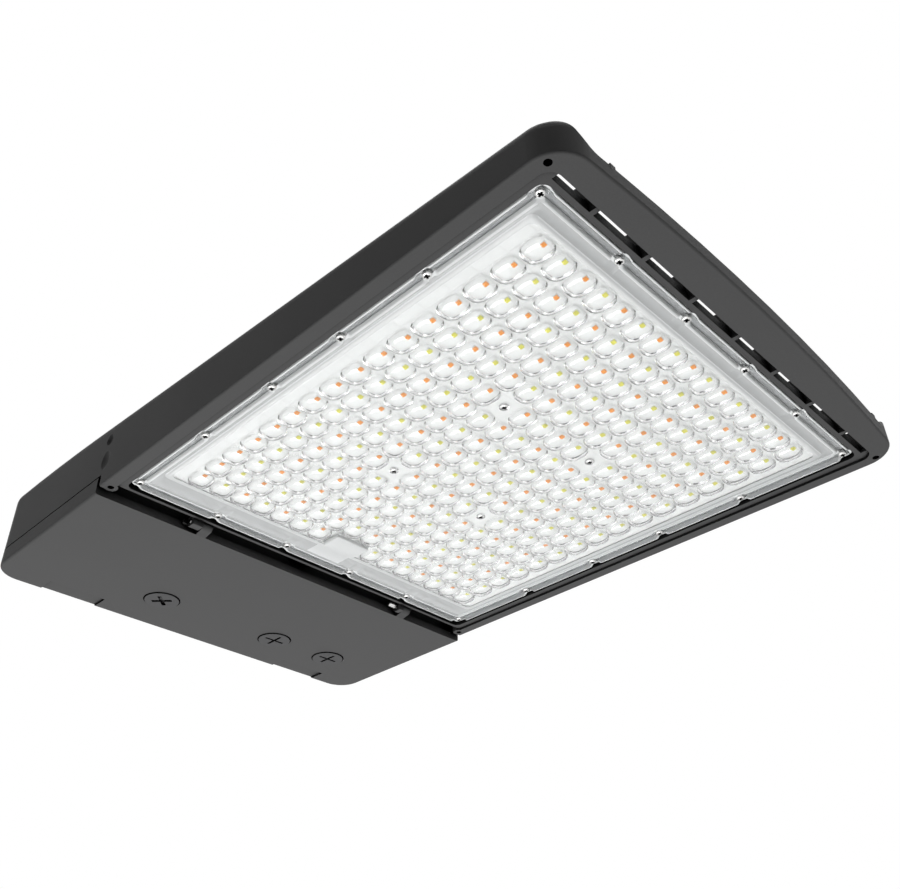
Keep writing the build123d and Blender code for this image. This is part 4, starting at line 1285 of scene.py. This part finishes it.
@dataclass
class ScrewSet:
    """Pan-head screws with a cross recess, in millimetres."""

    stamps: StampTree
    wardrobe: Wardrobe
    head_width: float = 5.6
    head_height: float = 1.9
    sides: int = 24
    rise: tuple[Spot, ...] = ((0.5, 0.0), (0.5, 0.42), (0.47, 0.74), (0.40, 0.94), (0.33, 1.0))
    recess_arm: float = 0.30
    recess_half: float = 0.12
    recess_depth: float = 0.75
    recess_taper: float = 0.8
    shank_radius: float = 0.27
    shank: float = 6.0
    crease: float = 40.0

    def head(self, shank: float) -> bpy.types.Object:
        """Unit screw hanging from the origin, one wide and one high.

        Args:
            shank: length of the shank in head heights.

        Returns:
            Helper object.
        """
        shape = bmesh.new()

        def ring(radius: float, level: float) -> list[bmesh.types.BMVert]:
            """Add one round of vertices.

            Args:
                radius: its radius in head widths.
                level: how far under the seat it lies, in head heights.

            Returns:
                The vertices.
            """
            return [
                shape.verts.new((radius * math.cos(turn), radius * math.sin(turn), -level))
                for turn in (2 * math.pi * (step + 0.5) / self.sides for step in range(self.sides))
            ]

        rounds = [ring(self.shank_radius, -shank), ring(self.shank_radius, 0.0)]
        shape.faces.new(rounds[0][::-1])
        rounds += [ring(radius, level) for radius, level in self.rise]
        rings_to_faces(shape, rounds, closed=False)
        arm, half = self.recess_arm, self.recess_half
        corner = [(arm, -half), (arm, half), (half, half)]
        cross = [
            (x * math.cos(turn) - y * math.sin(turn), x * math.sin(turn) + y * math.cos(turn))
            for turn in (quarter * math.pi / 2 for quarter in range(4))
            for x, y in corner
        ]
        mouth = [shape.verts.new((x, y, -1.0)) for x, y in cross]
        taper, bottom = self.recess_taper, -1.0 + self.recess_depth
        floor = [shape.verts.new((x * taper, y * taper, bottom)) for x, y in cross]
        top = rounds[-1]
        for step, vert in enumerate(mouth):
            after = (step + 1) % len(mouth)
            first = (2 * step - 1) % self.sides
            arc = [top[(first + further) % self.sides] for further in range(3)]
            shape.faces.new((*arc, mouth[after], vert))
        before = len(shape.faces)
        rings_to_faces(shape, [mouth, floor])
        bmesh.ops.recalc_face_normals(shape, faces=shape.faces[:])
        made = add_object("screw_unit", shape)
        count = len(made.data.polygons)
        # Marks the cross recess's faces, which the steel darkens as painted shade.
        mark_faces(made, "recess", [float(number >= before) for number in range(count)])
        return made

    def build(self, name: str, spots: Sequence[Spot], level: float, seed: int) -> bpy.types.Object:
        """Set screws on their places, each turned its own way.

        Args:
            name: node that they stand for.
            spots: places in millimetres.
            level: height of the heads' seats in millimetres.
            seed: number that fixes the turns.

        Returns:
            All of them as one object.
        """
        made = self.stamps.press(
            name + "_turned",
            self.head(self.shank / self.head_height),
            spots,
            level,
            Width=self.head_width * MM,
            Length=self.head_width * MM,
            Height=self.head_height * MM,
            Turn=2 * math.pi,
            Seed=seed,
            Finish=self.wardrobe.get(STAINLESS),
        )
        soften(made, self.crease)
        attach(made, Body.HOUSING.value)
        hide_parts(name)
        return made


@dataclass
class LedArray:
    """Ceramic packages with a phosphor window, in millimetres."""

    grid: LedGrid
    stamps: StampTree
    wardrobe: Wardrobe
    board_z: float = -27.0
    package: float = 3.0
    package_height: float = 0.5
    window: float = 2.9
    window_height: float = 0.2
    package_cut: Spot = (0.04, 0.05)
    window_cut: Spot = (0.12, 0.1)
    shoulder_level: float = 0.6
    crease: float = 40.0

    def block(self, name: str, corner: float, shoulder: float) -> bpy.types.Object:
        """Unit block with cut corners and a softened top.

        Args:
            name: the helper's name.
            corner: how far its corners are cut, in widths.
            shoulder: how far its top edge is drawn in, in widths.

        Returns:
            Helper object hanging from the origin.
        """
        shape = bmesh.new()

        def ring(half: float, level: float) -> list[bmesh.types.BMVert]:
            """Add one outline with cut corners.

            Args:
                half: its half width.
                level: how far under the seat it lies.

            Returns:
                Its vertices.
            """
            inner = half - corner
            outline = [
                (half, -inner), (half, inner), (inner, half), (-inner, half),
                (-half, inner), (-half, -inner), (-inner, -half), (inner, -half),
            ]
            return [shape.verts.new((x, y, -level)) for x, y in outline]

        loops = [ring(0.5, 0.0), ring(0.5, self.shoulder_level), ring(0.5 - shoulder, 1.0)]
        shape.faces.new(loops[0][::-1])
        rings_to_faces(shape, loops)
        bmesh.ops.recalc_face_normals(shape, faces=shape.faces[:])
        return add_object(name, shape)

    def places(self, parity: int | None = None) -> list[Spot]:
        """Places of the LEDs, forward of the middles of their cells."""
        return [(x, y + self.grid.led_forward) for x, y in self.grid.lit(parity)]

    def packages(self) -> bpy.types.Object:
        """Ceramic bodies of all the LEDs.

        Returns:
            All of them as one object.
        """
        made = self.stamps.press(
            "led_packages",
            self.block("package_unit", *self.package_cut),
            self.places(),
            self.board_z,
            Width=self.package * MM,
            Length=self.package * MM,
            Height=self.package_height * MM,
            Finish=self.wardrobe.get(CERAMIC),
        )
        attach(made, Body.HOUSING.value)
        return made

    def windows(self, name: str, parity: int, finish: Finish) -> bpy.types.Object:
        """Phosphor windows of one light colour.

        Args:
            name: node that they stand for.
            parity: which of every two columns they are in.
            finish: their phosphor.

        Returns:
            All of them as one object.
        """
        made = self.stamps.press(
            name + "_windows",
            self.block("window_unit", *self.window_cut),
            self.places(parity),
            self.board_z - self.package_height,
            Width=self.window * MM,
            Length=self.window * MM,
            Height=self.window_height * MM,
            Finish=self.wardrobe.get(finish),
        )
        soften(made, self.crease)
        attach(made, Body.HOUSING.value)
        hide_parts(name)
        return made


@dataclass
class Casting:
    """Housing with its pad and seals."""

    wardrobe: Wardrobe

    def dress(self) -> None:
        """Finish the casting and what is sealed to it."""
        self.wardrobe.dress(POWDER_GREY, ("housing",))
        self.wardrobe.dress(PALE_SEAL, ("lens_gasket",))
        self.wardrobe.dress(PAD_GREY, ("thermal_pad",))
        self.wardrobe.dress(WHITE_MASK, ("led_board",))
        self.wardrobe.dress(BLACK_SEAL, ("wire_entry_grommet", "lead_grommet"))


@dataclass
class DriverDoor:
    """Hinged door with its locks, plug and seals."""

    wardrobe: Wardrobe

    def dress(self) -> None:
        """Finish the door and what rides on it."""
        self.wardrobe.dress(POWDER_GREY, ("driver_door",))
        self.wardrobe.dress(LOCK_NYLON, ("turn_lock_left", "turn_lock_right", "port_plug"))
        self.wardrobe.dress(
            STAINLESS, ("hinge_pin_left", "hinge_pin_right", "lock_cam_left", "lock_cam_right")
        )
        self.wardrobe.dress(BLACK_SEAL, ("door_gasket", "lock_seals", "port_seal"))


@dataclass
class BayFittings:
    """Driver, surge protector, terminals, selector and leads in the bay."""

    wardrobe: Wardrobe

    def dress(self) -> None:
        """Finish the fittings behind the door."""
        self.wardrobe.dress(DRIVER_SHEET, ("led_driver",))
        self.wardrobe.dress(BLACK_NYLON, ("surge_protector", "power_switch", "colour_switch"))
        self.wardrobe.dress(
            WHITE_NYLON, ("terminal_block", "board_connector", "power_slider", "colour_slider")
        )
        self.wardrobe.dress(GREEN_MASK, ("selector_board",))
        self.wardrobe.dress(WIRE_BLACK, ("surge_leads", "dc_lead", "input_leads", "selector_lead"))
        self.wardrobe.dress(
            STAINLESS,
            ("selector_screws", "driver_screws", "surge_screws", "terminal_screws", "ground_screw"),
        )


@dataclass
class Studio:
    """Floor, background, lamps and camera, in metres."""

    floor_z: float = -1.5
    floor_half: float = 5.0
    floor_tint: Colour = (0.8, 0.8, 0.8)
    ambient: float = 0.07
    eye: Triple = (0.40796, 0.70462, -0.38800)
    right: Triple = (-0.69767404, 0.71621885, -0.01677781)
    up: Triple = (0.40238108, 0.41112363, 0.81796505)
    forward: Triple = (-0.59273974, -0.56392191, 0.5750232)
    focal: float = 38.974
    sensor: float = 36.0
    clip: Spot = (0.01, 100.0)
    lamps: tuple[tuple[str, Triple, Triple, float, float], ...] = (
        ("under_soft", (0.1, 0.0, -1.3), (0.0, 0.28, 0.0), 1.0, 15.8),
        ("front_soft", (-0.8, 1.6, 0.1), (0.0, 0.5, 0.0), 0.8, 3.0),
        ("top_soft", (-0.5, 0.2, 1.7), (0.0, 0.28, 0.0), 1.8, 19.0),
    )

    def background_share(self, book: NodeBook) -> Wire:
        """Mask of the rays that see the background directly, by mirror or through glass.

        Args:
            book: where its nodes go.

        Returns:
            Wire of 1 for those rays and 0 for the rest.
        """
        path = book.make("ShaderNodeLightPath")
        seen = book.wire(path, "Is Camera Ray").larger(book.wire(path, "Is Glossy Ray"))
        return seen.larger(book.wire(path, "Is Transmission Ray"))

    def floor(self) -> bpy.types.Object:
        """Pale floor far below the light, white where it is seen.

        Returns:
            The floor.
        """
        shape = bmesh.new()
        bmesh.ops.create_grid(shape, x_segments=2, y_segments=2, size=self.floor_half)
        bmesh.ops.translate(shape, verts=shape.verts[:], vec=(0.0, 0.0, self.floor_z))
        made = add_object("floor", shape)
        paint = bpy.data.materials.new("floor_paper")
        book = NodeBook.fresh(paint)
        paper = book.make("ShaderNodeBsdfDiffuse", {}, {"Color": (*self.floor_tint, 1.0)})
        glow = book.make("ShaderNodeEmission", {}, {"Color": WHITE, "Strength": 1.0})
        share = self.background_share(book)
        surface = book.mixed(share, paper.outputs[0], glow.outputs[0])
        book.make("ShaderNodeOutputMaterial", {}, {"Surface": surface})
        made.data.materials.append(paint)
        return made

    def sky(self) -> None:
        """White background, dimmer as a light."""
        world = bpy.data.worlds.new("studio_sky")
        book = NodeBook.fresh(world)
        share = self.background_share(book)
        strength = self.ambient + share * (1 - self.ambient)
        glow = book.make("ShaderNodeBackground", {}, {"Color": WHITE, "Strength": strength})
        book.make("ShaderNodeOutputWorld", {}, {"Surface": glow.outputs[0]})
        bpy.context.scene.world = world

    def lamp(self, name: str, place: Triple, aim: Triple, size: float, power: float) -> None:
        """Hang a soft square lamp that no camera sees.

        Args:
            name: the lamp's name.
            place: its middle.
            aim: point that it faces.
            size: length of its side.
            power: its power in watts.
        """
        data = bpy.data.lights.new(name, "AREA")
        data.shape = "SQUARE"
        data.size = size
        data.energy = power
        made = bpy.data.objects.new(name, data)
        made.location = place
        made.rotation_euler = (Vector(aim) - Vector(place)).to_track_quat("-Z", "Y").to_euler()
        made.visible_camera = False
        bpy.context.scene.collection.objects.link(made)

    def camera(self) -> None:
        """Set the camera at the photograph's viewing angle."""
        data = bpy.data.cameras.new("camera")
        data.sensor_fit = "HORIZONTAL"
        data.sensor_width = self.sensor
        data.lens = self.focal
        data.clip_start, data.clip_end = self.clip
        made = bpy.data.objects.new("camera", data)
        turn = Matrix((self.right, self.up, [-part for part in self.forward])).transposed()
        made.matrix_world = Matrix.Translation(self.eye) @ turn.to_4x4()
        bpy.context.scene.collection.objects.link(made)
        bpy.context.scene.camera = made

    def build(self) -> None:
        """Set up floor, background, lamps and camera."""
        self.floor()
        self.sky()
        for lamp in self.lamps:
            self.lamp(*lamp)
        self.camera()
        bpy.context.scene.view_settings.view_transform = "Standard"


def main() -> None:
    """Build the pieces in order and report each one."""
    logging.basicConfig(level=logging.INFO, format="%(name)s %(message)s")
    wardrobe = Wardrobe()
    stamps = StampTree()
    grid = LedGrid()
    Casting(wardrobe).dress()
    DriverDoor(wardrobe).dress()
    BayFittings(wardrobe).dress()
    leds = LedArray(grid, stamps, wardrobe)
    plate = OpticPlate(grid, stamps, wardrobe)
    screws = ScrewSet(stamps, wardrobe)
    middle = [grid.spot(*cell) for cell in grid.screw_cells()]
    pieces = [
        leds.packages(),
        leds.windows("warm_leds", 0, WARM_PHOSPHOR),
        leds.windows("cool_leds", 1, COOL_PHOSPHOR),
        plate.build(),
        screws.build("lens_screws", plate.screw_spots(), plate.boss_z, LENS_SCREW_SEED),
        screws.build("centre_screws", middle, plate.well_seat_z, CENTRE_SCREW_SEED),
    ]
    for piece in pieces:
        LOG.info("built %s with %d faces", piece.name, len(piece.data.polygons))
    Studio().build()


if __name__ == "__main__":
    main()
